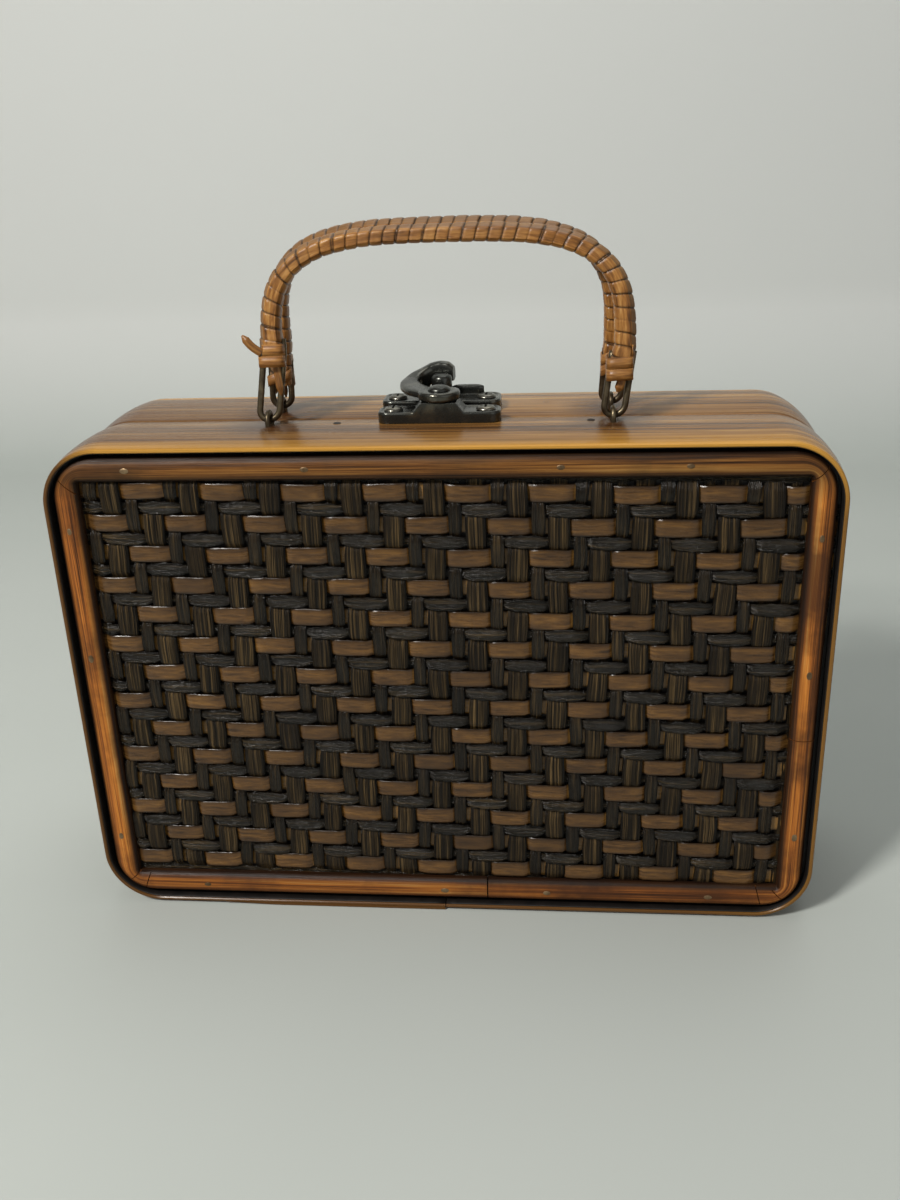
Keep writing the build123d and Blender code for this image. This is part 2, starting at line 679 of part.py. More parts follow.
def wrap_corners(route, distance, shrink):
    """Section of the wrapping at a distance along a route, less a depth all round."""
    point, _ = along(route, distance)
    top_share = max(0, min(1, point.Z / HANDLE_TOP)) ** 2
    radial = LEG_RADIAL + (TOP_RADIAL - LEG_RADIAL) * top_share
    return six_corners(radial - shrink, WRAP_HALF_DEPTH - shrink, WRAP_CHAMFER)


def handle_core(feet):
    """The split cane inside the wrapping."""
    route = arch_route(feet)
    first = LOOP_EMBED + CORE_GAP
    last = route_length(route) - first
    square = [(CORE_HALF, CORE_HALF), (-CORE_HALF, CORE_HALF), (-CORE_HALF, -CORE_HALF), (CORE_HALF, -CORE_HALF)]
    stops = [route_length(route[:index + 1]) for index in range(1, len(route), ARCH_STEPS // CORE_STEPS)]
    places = [first, *(stop for stop in stops if first < stop < last), last]
    return ringed_solid([section_ring(route, place, square) for place in places])


def handle_wrap(feet, core):
    """The strip wound round the core, as a row of turns, with a thicker collar at each foot."""
    route = arch_route(feet)
    length = route_length(route)
    turns = round(length / WRAP_PITCH)
    places = [(turn + share) * length / turns for turn in range(turns) for share in (0, WRAP_CREST_SHARE)]
    rings = []
    for index, place in enumerate([*places, length]):
        groove = WRAP_GROOVE if index % 2 == 0 else 0
        swell = COLLAR_SWELL if min(place, length - place) < COLLAR_LENGTH else 0
        rings.append(section_ring(route, place, wrap_corners(route, place, groove - swell)))
    return ringed_solid(rings) - core


def lean(shape):
    """Lift a handle piece to its pivot, in front of the seam, and lean it in."""
    return Pos(0, -STAPLE_SET, PIVOT_Z) * Rot(-HANDLE_LEAN, 0, 0) * shape


def wire_loop(x, foot):
    """A wire loop through one staple that leans with the wrapping, with both legs inside its foot."""
    half = LOOP_HALF_WIDTH
    head = foot + LOOP_EMBED
    points = [shifted(x - half, head)]
    for step in range(LOOP_BEND_STEPS + 1):
        angle = pi + pi * step / LOOP_BEND_STEPS
        points.append(shifted(x + half * cos(angle), half + half * sin(angle)))
    points.append(shifted(x + half, head))
    return lean(wire_solid(points, Vector(0, 1, 0), LOOP_WIRE))


def handle_pieces(feet):
    """The pieces of one handle, in front of the seam."""
    core = handle_core(feet)
    return {
        "handle_core": lean(core),
        "handle_wrap": lean(handle_wrap(feet, core)),
        "handle_left_loop": wire_loop(-STAPLE_X, feet[0]),
        "handle_right_loop": wire_loop(STAPLE_X, feet[1]),
    }


def build_parts():
    """Every piece of the bag by name."""
    parts = {}
    parts["front_rim_band"] = rim_band(BASE_SET, BASE_DEPTH, 0)
    parts["back_rim_band"] = to_back(rim_band(KEEPER_SET, KEEPER_DEPTH, KEEPER_SHIFT))
    pieces = {
        "woven_panel": woven_panel(),
        "moulding": moulding(),
        "batten_frame": batten_frame(),
        "staples": Compound(children=[staple(x) for x in (-STAPLE_X, STAPLE_X)]),
    }
    for name, piece in pieces.items():
        parts["front_" + name] = piece
        parts["back_" + name] = to_back(piece)
    for name, piece in handle_pieces(FRONT_FEET).items():
        parts["front_" + name] = piece
    for name, piece in handle_pieces(BACK_FEET).items():
        parts["back_" + name] = to_back(piece)
    for side, x in (("left", -HINGE_X), ("right", HINGE_X)):
        parts[side + "_hinge_front_leaf"] = hinge_leaf(x, True)
        parts[side + "_hinge_back_leaf"] = to_back(hinge_leaf(x, False))
        parts[side + "_hinge_pin"] = hinge_pin(x)
    parts["clasp_base_plate"] = base_plate()
    parts["clasp_base_screws"] = screws(BASE_SCREWS)
    parts["clasp_keeper_plate"] = keeper_plate()
    parts["clasp_keeper_screws"] = screws(KEEPER_SCREWS)
    parts["clasp_stud"] = stud()
    parts["clasp_rivet"] = rivet()
    parts["clasp_arm"] = clasp_arm()
    return parts


os.makedirs("parts", exist_ok=True)
for node, shape in build_parts().items():
    export_step(shape, os.path.join("parts", node + ".step"))
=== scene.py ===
import math
from collections import namedtuple

import bmesh
import bpy
import numpy as np
from mathutils import Matrix, Vector


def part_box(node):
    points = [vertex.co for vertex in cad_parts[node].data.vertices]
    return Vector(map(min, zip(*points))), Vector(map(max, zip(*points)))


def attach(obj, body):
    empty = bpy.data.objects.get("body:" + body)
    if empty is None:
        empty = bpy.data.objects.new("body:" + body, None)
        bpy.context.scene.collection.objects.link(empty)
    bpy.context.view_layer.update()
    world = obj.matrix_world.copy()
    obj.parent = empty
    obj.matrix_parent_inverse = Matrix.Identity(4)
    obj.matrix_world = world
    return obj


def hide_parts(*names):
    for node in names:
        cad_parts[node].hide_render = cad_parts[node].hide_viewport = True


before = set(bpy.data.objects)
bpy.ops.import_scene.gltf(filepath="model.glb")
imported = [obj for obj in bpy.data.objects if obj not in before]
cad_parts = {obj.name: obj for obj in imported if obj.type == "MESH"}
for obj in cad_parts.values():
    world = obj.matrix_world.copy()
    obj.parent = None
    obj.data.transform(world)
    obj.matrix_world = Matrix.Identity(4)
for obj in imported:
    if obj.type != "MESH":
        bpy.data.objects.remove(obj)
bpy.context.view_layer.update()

RANDOM = np.random.default_rng(7)
MM = 0.001

# Case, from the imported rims, in millimetres
RIM_LOW, RIM_HIGH = [np.array(corner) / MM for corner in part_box("front_rim_band")]
HALF_WIDTH = RIM_HIGH[0]
HEIGHT = RIM_HIGH[2]
HALF_DEPTH = -RIM_LOW[1]
SEAM_EDGE = -RIM_HIGH[1]
MIDDLE = HEIGHT / 2
CORNER_RADIUS = 19.2
BAND_THICKNESS = 2.2
BAND_CROWN = 1.0
BAND_EDGE_ROUND = 0.3
BAND_JOINT_X = -1.5
BAND_JOINT_GAP = 0.3
HINGE_POCKET = (7.6, 1.0, 1.2)  # reach into the band, reach past the seam, height
HINGE_POCKET_GAP = 0.1
LAP_START = -78.0
LAP_FADE = 20.0
LAP_WIDTH = 9.0
LAP_THICKNESS = 0.6

# Moulding and panel
MOULDING_LOW, MOULDING_HIGH = [np.array(corner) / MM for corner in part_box("front_moulding")]
MOULDING_WIDTH = 7.8
MOULDING_HEIGHT = 3.4
MOULDING_EDGE = 0.9
MOULDING_CORNER = 13.5
MOULDING_JOINT_X = 12.9
MOULDING_JOINT_HALF_GAP = 0.2
SAW_CUTS = ((-111.0, 9.6, 50), (-105.9, 7.6, 20), (102.7, 7.8, -15), (110.0, 8.0, -45),
            (-112.0, 152.0, -45), (111.0, 153.5, 45))  # x, z and turn in degrees
SAW_CUT_HALF_WIDTH = 0.14
SAW_CUT_REACH = (5.0, 4.0)
CRACK = (66.9, 67.15)
BRADS_ABOVE = (-92.3, -37.7, 37.3, 74.1)
BRADS_BELOW = (-84.1, -1.6, 32.8, 86.1)
BRADS_LEFT = (-55.0, 12.0, 55.0)
BRADS_RIGHT = (-50.0, 8.0, 52.0)
BRAD_HALF_SIZE = (1.3, 0.8)
BRAD_PROFILE = ((1.0, -0.6), (1.0, 0.0), (0.85, 0.1), (0.4, 0.15), (0.01, 0.15))
NAILS = {"front": ((-31.9, 8.6), (46.4, 8.6)), "back": ((-35.3, 18.0), (32.5, 16.0))}
NAIL_PROFILE = ((1.2, -1.0), (1.2, -0.12), (1.0, 0.02), (0.6, -0.05), (0.0, -0.08))
PANEL_FACE = 30.6
PANEL_BACK = 29.0
LINING_NEAR = PANEL_BACK + 0.05
LINING_FAR = PANEL_BACK + 0.35
LINING_GAP = 0.08
STRAND_FLOOR = PANEL_BACK + 0.12
OUTER_X = MOULDING_HIGH[0]
OUTER_Z = (MOULDING_HIGH[2] - MOULDING_LOW[2]) / 2
WINDOW_X = OUTER_X - MOULDING_WIDTH
WINDOW_Z = OUTER_Z - MOULDING_WIDTH

# Weave: two over, two under, stepping one warp to the right on each row down
NARROW_WARP = 3.75
WIDE_WARP = 5.75
WARP_GAP = 1.425
RIBBON_WEFT = 5.8
ROUND_WEFT = 3.95
WEFT_GAP = 0.2
WARP_PAIR = NARROW_WARP + WIDE_WARP + 2 * WARP_GAP
WEFT_PAIR = RIBBON_WEFT + ROUND_WEFT + 2 * WEFT_GAP
WEAVE_SHIFT = (2.7, -1.5)
WEAVE_TILT = math.radians(0.8)
WEAVE_MIDDLE = 30.45
WEAVE_WAVE = 0.7
WEAVE_REACH = (117.0, 78.8)
WEAVE_STEP = 1.4
FLOAT_BOW_RUN = 3.4  # half run over which a float bows out
CROSSING_EASE = 0.35
WARP_PAIRS = range(-11, 11)
WEFT_PAIRS = range(-2, 16)
Strand = namedtuple("Strand", "width thickness fullness points ridge ridges twist bow taper")
RIBBON_SHAPE = Strand(RIBBON_WEFT * 0.98, 0.9, 0.62, 14, 0.0, 0, 0.0, 0.2, 0.02)
ROUND_SHAPE = Strand(ROUND_WEFT * 1.02, 1.9, 0.85, 18, 0.2, 5, 0.3, 0.3, 0.26)
NARROW_SHAPE = Strand(NARROW_WARP * 1.08, 1.2, 0.7, 16, 0.14, 5, 0.06, 0.2, 0.1)
WIDE_SHAPE = Strand(WIDE_WARP * 1.06, 1.2, 0.65, 28, 0.26, 11, 0.012, 0.15, 0.06)

# Handles
STAPLE_X = 53.0
STAPLE_SET = 9.5
STAPLE_WIRE = 1.6
STAPLE_GAP = 3.4
STAPLE_RISE = 2.9
STAPLE_DEPTH = 1.9
PIVOT_Z = HEIGHT + 1.5
HANDLE_LEAN = math.radians(5.9)
ARCH_RISE = 34.0
ARCH_POWER = 3.4
ARCHES = {"front": (53.9, 53.4, 2.8), "back": (55.2, 52.3, 1.3)}  # top, half span and shift to the right
FEET = {"front": (17.5, 12.0), "back": (8.0, 10.0)}
WRAP_PITCH = 3.85
WRAP_HALF_DEPTH = 3.25
TOP_RADIAL = 2.7
LEG_RADIAL = 3.25
LOOSE_STRIPS = {  # foot, points measured from it, width and thickness
    "front": (("left", ((-2.5, 3.6, 3.0), (-5.4, 4.0, 5.2), (-8.0, 4.2, 8.4)), 2.4, 0.5),
              ("left", ((1.2, 1.5, 2.0), (1.6, 1.6, -4.0), (2.2, 1.2, -10.0)), 2.2, 0.5),
              ("right", ((1.0, 1.8, 1.0), (0.4, 2.0, -2.0), (-0.6, 1.8, -5.0)), 2.6, 0.5)),
    "back": [("left", ((shift, 1.2, 2.0), (shift * 1.2, 1.5, -1.0), (shift * 1.6, 1.0, -drop)), 1.6, 0.4)
             for shift, drop in ((-1.6, 4.2), (0.4, 5.6), (1.8, 3.4))],
}
LOOP_WIRE = 2.0
LOOP_HALF_WIDTH = 3.1
LOOP_EMBED = 7.0

# Clasp, measured from the top of the rims
PIVOT = (0.0, -5.5)
STUD = (-0.8, 11.0)
PLATE_LENGTH = 38.0
PLATE_CORNER = 3.5
EAR_HEIGHT = 3.4
BASE_MIDDLE = -6.0
BASE_DEPTH = 10.0
BLOCK_HEIGHT = 6.2
BLOCK_TOP = 10.8
BLOCK_FOOT = 15.4
KEEPER_MIDDLE = 11.0
KEEPER_DEPTH = 13.0
RIB_START = 2.8
RIB_END = 13.2
RIB_RADIUS = 1.1
RIB_HEIGHT = 6.2
SCREW_SPREAD = 14.3
SCREW_CROSS = (1.8, 0.36)
SCREW_CROSS_FLOOR = 3.6
ARM_ROUTE = ((-1.5, 0.5), (-7.2, 5.6), (-10.6, 12.6), (-9.6, 18.6), (-5.4, 21.8), (-1.4, 22.4), (2.8, 21.8))
# share of the route, with the arm's top, foot and half width there
ARM_TOP = ((0, 9.0), (0.2, 9.1), (0.42, 9.9), (0.58, 11.6), (0.7, 13.2), (0.82, 13.8), (0.93, 13.5), (1, 12.0))
ARM_FOOT = ((0, 6.4), (0.3, 6.4), (0.42, 5.6), (0.5, 4.8), (0.63, 4.8), (0.72, 7.4), (1, 7.4))
ARM_HALF_WIDTH = ((0, 4.5), (0.15, 4.2), (0.45, 2.6), (0.65, 2.0), (1, 1.9))
# turned profiles: radius and height
DISC_PROFILE = ((6.1, 6.35), (6.5, 6.7), (6.5, 8.5), (6.1, 9.0), (5.4, 9.1), (0.0, 9.1))
STUD_PROFILE = ((2.1, 0), (2.1, 5.2), (2.7, 5.5), (3.2, 5.9), (3.3, 6.5), (3.3, 9.3), (3.1, 9.9), (2.5, 10.45),
                (1.4, 10.75), (0.0, 10.8))
RIVET_PROFILE = ((1.8, 0), (1.8, 9.2), (3.5, 9.2), (3.45, 9.5), (2.9, 10.1), (1.7, 10.5), (0.0, 10.6))
SCREW_PROFILE = ((1.1, -1.5), (1.1, 3.2), (3.0, 3.2), (2.95, 3.5), (2.4, 4.0), (1.2, 4.28), (0.0, 4.3))

# Camera, fitted to the photograph's 900 by 1200 frame
FRAME_SIZE = (900, 1200)
CAMERA_PLACE = (0.03757, -0.35475, 0.24782)
CAMERA_YAW = math.radians(-5.994)
CAMERA_PITCH = math.radians(-22.459)
CAMERA_ROLL = math.radians(-2.183)
CAMERA_FOCAL = 1149.8
SENSOR = 36.0

# Stage, in metres: lamps have a place, a size, a power and a colour
WALL = 0.62
WALL_BEND = 0.12
LAMP_TARGET = (0, 0, 0.1)
LAMPS = {"key": ((-0.6, -0.8, 1.0), 0.22, 17.0, (1.0, 0.97, 0.93)),
         "fill": ((1.2, -1.4, 0.7), 1.6, 3.0, (0.96, 0.98, 1.0)),
         "top": ((0.1, 0.25, 1.3), 0.9, 4.0, (1.0, 1.0, 1.0))}
WORLD_COLOR = (0.93, 0.93, 0.91, 1.0)
WORLD_STRENGTH = 0.22


# Meshes

class Skin:
    """Collects rings of points into one mesh, with maps of its grain, of tone and of painted edge shade, and of lift.
    """

    def __init__(self):
        self.verts = []
        self.faces = []
        self.grain = []
        self.strand = []
        self.lift = []
        self.count = 0

    def add(self, rings, edge=0.0, lift=0.0):
        """Add a closed tube through rings of points, with a cap at each end."""
        rings = np.asarray(rings, float)
        rows, columns, _ = rings.shape
        edges = np.broadcast_to(edge, (rows, columns))
        lifts = np.broadcast_to(lift, (rows, columns))
        index = self.count + np.arange(rows * columns).reshape(rows, columns)
        along = lengths_along(rings.mean(axis=1))
        middle = rings[rows // 2]
        across = lengths_along(np.vstack([middle, middle[:1]]))
        offset = RANDOM.uniform(0, 900, 2)
        tone = RANDOM.uniform(0, 1)

        def corner(row, column):
            self.grain.append((along[row] + offset[0], across[column] + offset[1]))
            self.strand.append((tone, edges[row, column % columns]))
            self.lift.append((lifts[row, column % columns], 0.0))

        for row in range(rows - 1):
            for column in range(columns):
                steps = ((row, column), (row, column + 1), (row + 1, column + 1), (row + 1, column))
                self.faces.append([index[r, c % columns] for r, c in steps])
                for step in steps:
                    corner(*step)
        for row, ring in ((0, index[0][::-1]), (rows - 1, index[-1])):
            self.faces.append(ring)
            for column in range(columns):
                corner(row, column)
        self.verts.append(rings.reshape(-1, 3))
        self.count += rows * columns

    def mesh(self, name):
        mesh = bpy.data.meshes.new(name)
        mesh.from_pydata(np.vstack(self.verts) * MM, [], [tuple(int(i) for i in face) for face in self.faces])
        for layer, values, scale in (("grain", self.grain, MM), ("strand", self.strand, 1), ("lift", self.lift, 1)):
            data = mesh.uv_layers.new(name=layer).data
            data.foreach_set("uv", np.array(values, np.float32).ravel() * scale)
        return mesh


def outward(mesh):
    """Turn every face of a closed mesh outward."""
    work = bmesh.new()
    work.from_mesh(mesh)
    bmesh.ops.recalc_face_normals(work, faces=work.faces)
    work.to_mesh(mesh)
    work.free()


def piece(name, mesh, material, body, nodes=(), smooth=True, sharp=None):
    """A mesh as a piece of the object that rides on a body."""
    outward(mesh)
    mesh.polygons.foreach_set("use_smooth", [smooth] * len(mesh.polygons))
    if sharp is not None:
        mesh.set_sharp_from_angle(angle=math.radians(sharp))
    mesh.materials.clear()
    mesh.materials.append(material)
    obj = bpy.data.objects.new(name, mesh)
    bpy.context.collection.objects.link(obj)
    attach(obj, body)
    if nodes:
        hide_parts(*nodes)


def applied(mesh, set_up):
    """The mesh with modifiers that set_up adds to a helper object."""
    helper = bpy.data.objects.new("helper", mesh)
    bpy.context.collection.objects.link(helper)
    tools = set_up(helper)
    graph = bpy.context.evaluated_depsgraph_get()
    result = bpy.data.meshes.new_from_object(helper.evaluated_get(graph))
    bpy.data.objects.remove(helper)
    for tool in tools or []:
        bpy.data.objects.remove(tool)
    return result


def box_mesh(low, high, turn=0.0):
    """A box between two corners in millimetres, turned about its own y axis."""
    mesh = bpy.data.meshes.new("cutter")
    work = bmesh.new()
    bmesh.ops.create_cube(work, size=1.0)
    low = np.array(low)
    high = np.array(high)
    size = Matrix.Diagonal(Vector(tuple(high - low)).to_4d())
    size[3][3] = 1.0
    place = Matrix.Translation(Vector(tuple((low + high) / 2))) @ Matrix.Rotation(turn, 4, "Y") @ size
    bmesh.ops.transform(work, matrix=Matrix.Scale(MM, 4) @ place, verts=work.verts)
    work.to_mesh(mesh)
    work.free()
    return mesh


def without(mesh, cutters):
    """The mesh less a list of cutter meshes."""
    def set_up(helper):
        tools = []
        for cutter in cutters:
            tool = bpy.data.objects.new("tool", cutter)
            bpy.context.collection.objects.link(tool)
            modifier = helper.modifiers.new("cut", "BOOLEAN")
            modifier.operation = "DIFFERENCE"
            modifier.solver = "EXACT"
            modifier.object = tool
            tools.append(tool)
        return tools
    outward(mesh)
    return applied(mesh, set_up)


def directions(points):
    """Unit directions along a line of points."""
    tangents = np.gradient(points, axis=0)
    return tangents / np.linalg.norm(tangents, axis=1)[:, None]


def lengths_along(points):
    """Length of the line up to each of its points."""
    return np.concatenate([[0], np.cumsum(np.linalg.norm(np.diff(points, axis=0), axis=1))])


def ring_angles(count):
    """That many even angles round a circle."""
    return 2 * math.pi * np.arange(count) / count


def smoothstep(value):
    value = np.clip(value, 0, 1)
    return value * value * (3 - 2 * value)


def wander(count, span, seed_values=7):
    """A slow random curve with that many samples and that half range."""
    knots = RANDOM.uniform(-span, span, seed_values)
    places = np.linspace(0, seed_values - 1, count)
    return np.interp(places, np.arange(seed_values), knots)


def tube_rings(points, radius, sides=14):
    """Round rings along a line of points."""
    points = np.asarray(points, float)
    tangents = directions(points)
    side = np.cross(tangents[0], (0.3, 0.5, 0.8))
    rings = []
    for point, tangent in zip(points, tangents):
        side = side - tangent * side.dot(tangent)
        side /= np.linalg.norm(side)
        other = np.cross(tangent, side)
        angles = ring_angles(sides)
        rings.append(point + radius * (np.cos(angles)[:, None] * side + np.sin(angles)[:, None] * other))
    return rings


def curve_through(points, count=60):
    """A smooth line through a few points."""
    points = np.asarray(points, float)
    ends = np.vstack([2 * points[0] - points[1], points, 2 * points[-1] - points[-2]])
    result = []
    for place in np.linspace(0, len(points) - 1, count):
        index = min(int(place), len(points) - 2)
        t = place - index
        a, b, c, d = ends[index:index + 4]
        result.append(0.5 * (2 * b + (c - a) * t + (2 * a - 5 * b + 4 * c - d) * t**2 + (3 * b - a - 3 * c + d) * t**3))
    return np.array(result)


# Materials

class Nodes:
    """Short names for the nodes of one material."""

    def __init__(self, name):
        self.material = bpy.data.materials.new(name)
        self.material.use_nodes = True
        self.tree = self.material.node_tree
        self.shader = self.tree.nodes["Principled BSDF"]

    def node(self, kind, **values):
        node = self.tree.nodes.new(kind)
        for key, value in values.items():
            setattr(node, key, value)
        return node

    def put(self, socket, value):
        if hasattr(value, "is_output"):
            self.tree.links.new(value, socket)
        else:
            socket.default_value = value

    def mapped(self, source, scale):
        node = self.node("ShaderNodeMapping")
        self.put(node.inputs["Vector"], source)
        node.inputs["Scale"].default_value = scale
        return node.outputs["Vector"]

    def grain(self, along, across):
        return self.mapped(self.node("ShaderNodeUVMap", uv_map="grain").outputs["UV"], (along, across, 1.0))

    def space(self, scale=(1.0, 1.0, 1.0)):
        return self.mapped(self.node("ShaderNodeTexCoord").outputs["Object"], scale)

    def noise(self, vector, scale, detail=4.0, rough=0.55, twist=0.0):
        node = self.node("ShaderNodeTexNoise")
        self.put(node.inputs["Vector"], vector)
        node.inputs["Scale"].default_value = scale
        node.inputs["Detail"].default_value = detail
        node.inputs["Roughness"].default_value = rough
        node.inputs["Distortion"].default_value = twist
        return node.outputs["Fac"]

    def ramp(self, value, stops):
        node = self.node("ShaderNodeValToRGB")
        self.put(node.inputs["Fac"], value)
        elements = node.color_ramp.elements
        while len(elements) < len(stops):
            elements.new(0.5)
        for element, (place, color) in zip(elements, stops):
            element.position = place
            element.color = (*color, 1.0)
        return node.outputs["Color"]

    def span(self, value, low, high, new_low, new_high):
        node = self.node("ShaderNodeMapRange")
        self.put(node.inputs["Value"], value)
        for key, number in (("From Min", low), ("From Max", high), ("To Min", new_low), ("To Max", new_high)):
            node.inputs[key].default_value = number
        return node.outputs["Result"]

    def mix(self, first, second, share, blend="MIX"):
        node = self.node("ShaderNodeMix", data_type="RGBA", blend_type=blend)
        self.put(node.inputs[0], share)
        for socket, value in ((node.inputs[6], first), (node.inputs[7], second)):
            self.put(socket, value if hasattr(value, "is_output") else (*value, 1.0))
        return node.outputs[2]

    def sum(self, first, second, kind="ADD"):
        node = self.node("ShaderNodeMath", operation=kind)
        self.put(node.inputs[0], first)
        self.put(node.inputs[1], second)
        return node.outputs[0]

    def scaled(self, value, factor):
        return self.sum(value, factor, "MULTIPLY")

    def tone(self, channel, layer="strand"):
        node = self.node("ShaderNodeSeparateXYZ")
        self.put(node.inputs[0], self.node("ShaderNodeUVMap", uv_map=layer).outputs["UV"])
        return node.outputs[channel]

    def place(self, channel):
        node = self.node("ShaderNodeSeparateXYZ")
        self.put(node.inputs[0], self.node("ShaderNodeTexCoord").outputs["Object"])
        return node.outputs[channel]

    def math(self, kind, value):
        node = self.node("ShaderNodeMath", operation=kind)
        self.put(node.inputs[0], value)
        return node.outputs[0]

    def finish(self, color, rough, height=None, strength=0.4, depth=0.0004, **sockets):
        self.put(self.shader.inputs["Base Color"], color)
        self.put(self.shader.inputs["Roughness"], rough)
        if height is not None:
            bump = self.node("ShaderNodeBump")
            self.put(bump.inputs["Height"], height)
            bump.inputs["Strength"].default_value = strength
            bump.inputs["Distance"].default_value = depth
            self.put(self.shader.inputs["Normal"], bump.outputs["Normal"])
        for key, value in sockets.items():
            self.shader.inputs[key.replace("_", " ")].default_value = value
        return self.material


def srgb(red, green, blue):
    """Linear colour from 0 to 255 values."""
    def linear(value):
        value /= 255
        return value / 12.92 if value <= 0.04045 else ((value + 0.055) / 1.055) ** 2.4
    return tuple(linear(value) for value in (red, green, blue))


def grained(name, stops, along, across, rough, tint, wear, strength, grime_and_edge_shade, depth, shine, tan=None):
    """A material streaked along its strand, toned per strand, with painted shade at its edges and worn in patches."""
    n = Nodes(name)
    streak = n.noise(n.grain(along, across), 1.0, 6.0, 0.62, 0.4)
    fine = n.noise(n.grain(along * 3.1, across * 3.4), 1.0, 3.0, 0.5)
    both = n.sum(n.scaled(streak, 0.65), n.scaled(fine, 0.35))
    color = n.ramp(both, stops)
    shade = n.span(n.tone(0), 0, 1, 1 - tint, 1 + tint)
    shade_color = n.node("ShaderNodeCombineColor")
    for socket in shade_color.inputs:
        n.put(socket, shade)
    color = n.mix(color, shade_color.outputs[0], 1.0, "MULTIPLY")
    patch = n.noise(n.space(), 38.0, 5.0, 0.6)
    color = n.mix(color, wear, n.span(patch, 0.46, 0.72, 0.0, 0.7))
    if tan is not None:
        color = n.mix(color, tan, n.span(n.tone(0, "lift"), -0.3, -0.8, 0.0, 1.0))
    # Painted shade: darker towards a strand's edges and in the grooves between turns of a wound strip.
    color = n.mix(color, grime_and_edge_shade, n.span(n.sum(n.tone(1), n.scaled(fine, 0.4)), 0.4, 1.1, 0.0, 0.92))
    roughness = n.span(n.sum(patch, n.scaled(fine, 0.5)), 0.4, 1.0, rough - 0.1, rough + 0.14)
    return n.finish(color, roughness, both, strength, depth, Specular_IOR_Level=shine)


def bent_bamboo():
    """Varnished bamboo: long streaks, a pale edge above, darker towards the seam, round the staples, below the top run
    and along the left side.
    """
    n = Nodes("bent_bamboo")
    streak = n.noise(n.grain(5.0, 330.0), 1.0, 7.0, 0.68, 0.6)
    broad = n.noise(n.grain(2.5, 110.0), 1.0, 4.0, 0.55, 0.3)
    fine = n.noise(n.grain(30.0, 1500.0), 1.0, 3.0, 0.5)
    both = n.sum(n.sum(n.scaled(streak, 0.5), n.scaled(broad, 0.38)), n.scaled(fine, 0.12))
    bold = n.span(both, 0.38, 0.62, 0.0, 1.0)
    color = n.ramp(bold, ((0.0, srgb(46, 29, 13)), (0.3, srgb(94, 62, 29)), (0.52, srgb(132, 93, 46)),
                          (0.75, srgb(162, 121, 64)), (1.0, srgb(190, 152, 94))))
    depth = n.math("ABSOLUTE", n.place("Y"))
    wavy = n.sum(depth, n.scaled(broad, 0.014))
    # Darker towards the seam.
    color = n.mix(color, srgb(92, 60, 34), n.span(wavy, 0.0165, 0.008, 0.0, 0.5))
    color = n.mix(color, srgb(70, 46, 28), n.span(n.sum(n.place("X"), n.scaled(streak, 0.1)), 0.07, 0.0, 0.0, 0.5))
    patch = n.noise(n.space((0.35, 1.0, 1.0)), 26.0, 5.0, 0.6)
    color = n.mix(color, srgb(84, 50, 30), n.span(patch, 0.5, 0.7, 0.0, 0.7))
    color = n.mix(color, srgb(198, 146, 62), n.span(wavy, 0.0345, 0.0395, 0.0, 0.8))
    spot = n.node("ShaderNodeCombineXYZ")
    n.put(spot.inputs[0], n.math("ABSOLUTE", n.place("X")))
    n.put(spot.inputs[1], depth)
    away = n.node("ShaderNodeVectorMath", operation="DISTANCE")
    n.put(away.inputs[0], spot.outputs[0])
    away.inputs[1].default_value = (STAPLE_X * MM, STAPLE_SET * MM, 0.0)
    # Darker round the staples, on the top only.
    staple_darkening = n.span(n.sum(away.outputs["Value"], n.scaled(patch, 0.012)), 0.008, 0.022, 0.85, 0.0)
    color = n.mix(color, srgb(58, 34, 22), n.sum(staple_darkening, n.span(n.place("Z"), 0.15, 0.16, 0.0, 1.0), "MULTIPLY"))
    # Darker below the top run and all along the left side, a little less on the right side.
    side = n.sum(n.span(n.place("Z"), 0.14, 0.16, 0.88, 0.0), n.span(n.place("X"), 0.08, 0.12, 1.0, 0.8), "MULTIPLY")
    side = n.sum(side, n.span(n.place("X"), -0.1, -0.113, 0.0, 0.88), "MAXIMUM")
    color = n.mix(color, srgb(66, 38, 20), side)
    roughness = n.span(n.sum(patch, n.scaled(fine, 0.4)), 0.4, 1.0, 0.16, 0.36)
    return n.finish(color, roughness, both, 0.35, 0.0003, Specular_IOR_Level=0.2)


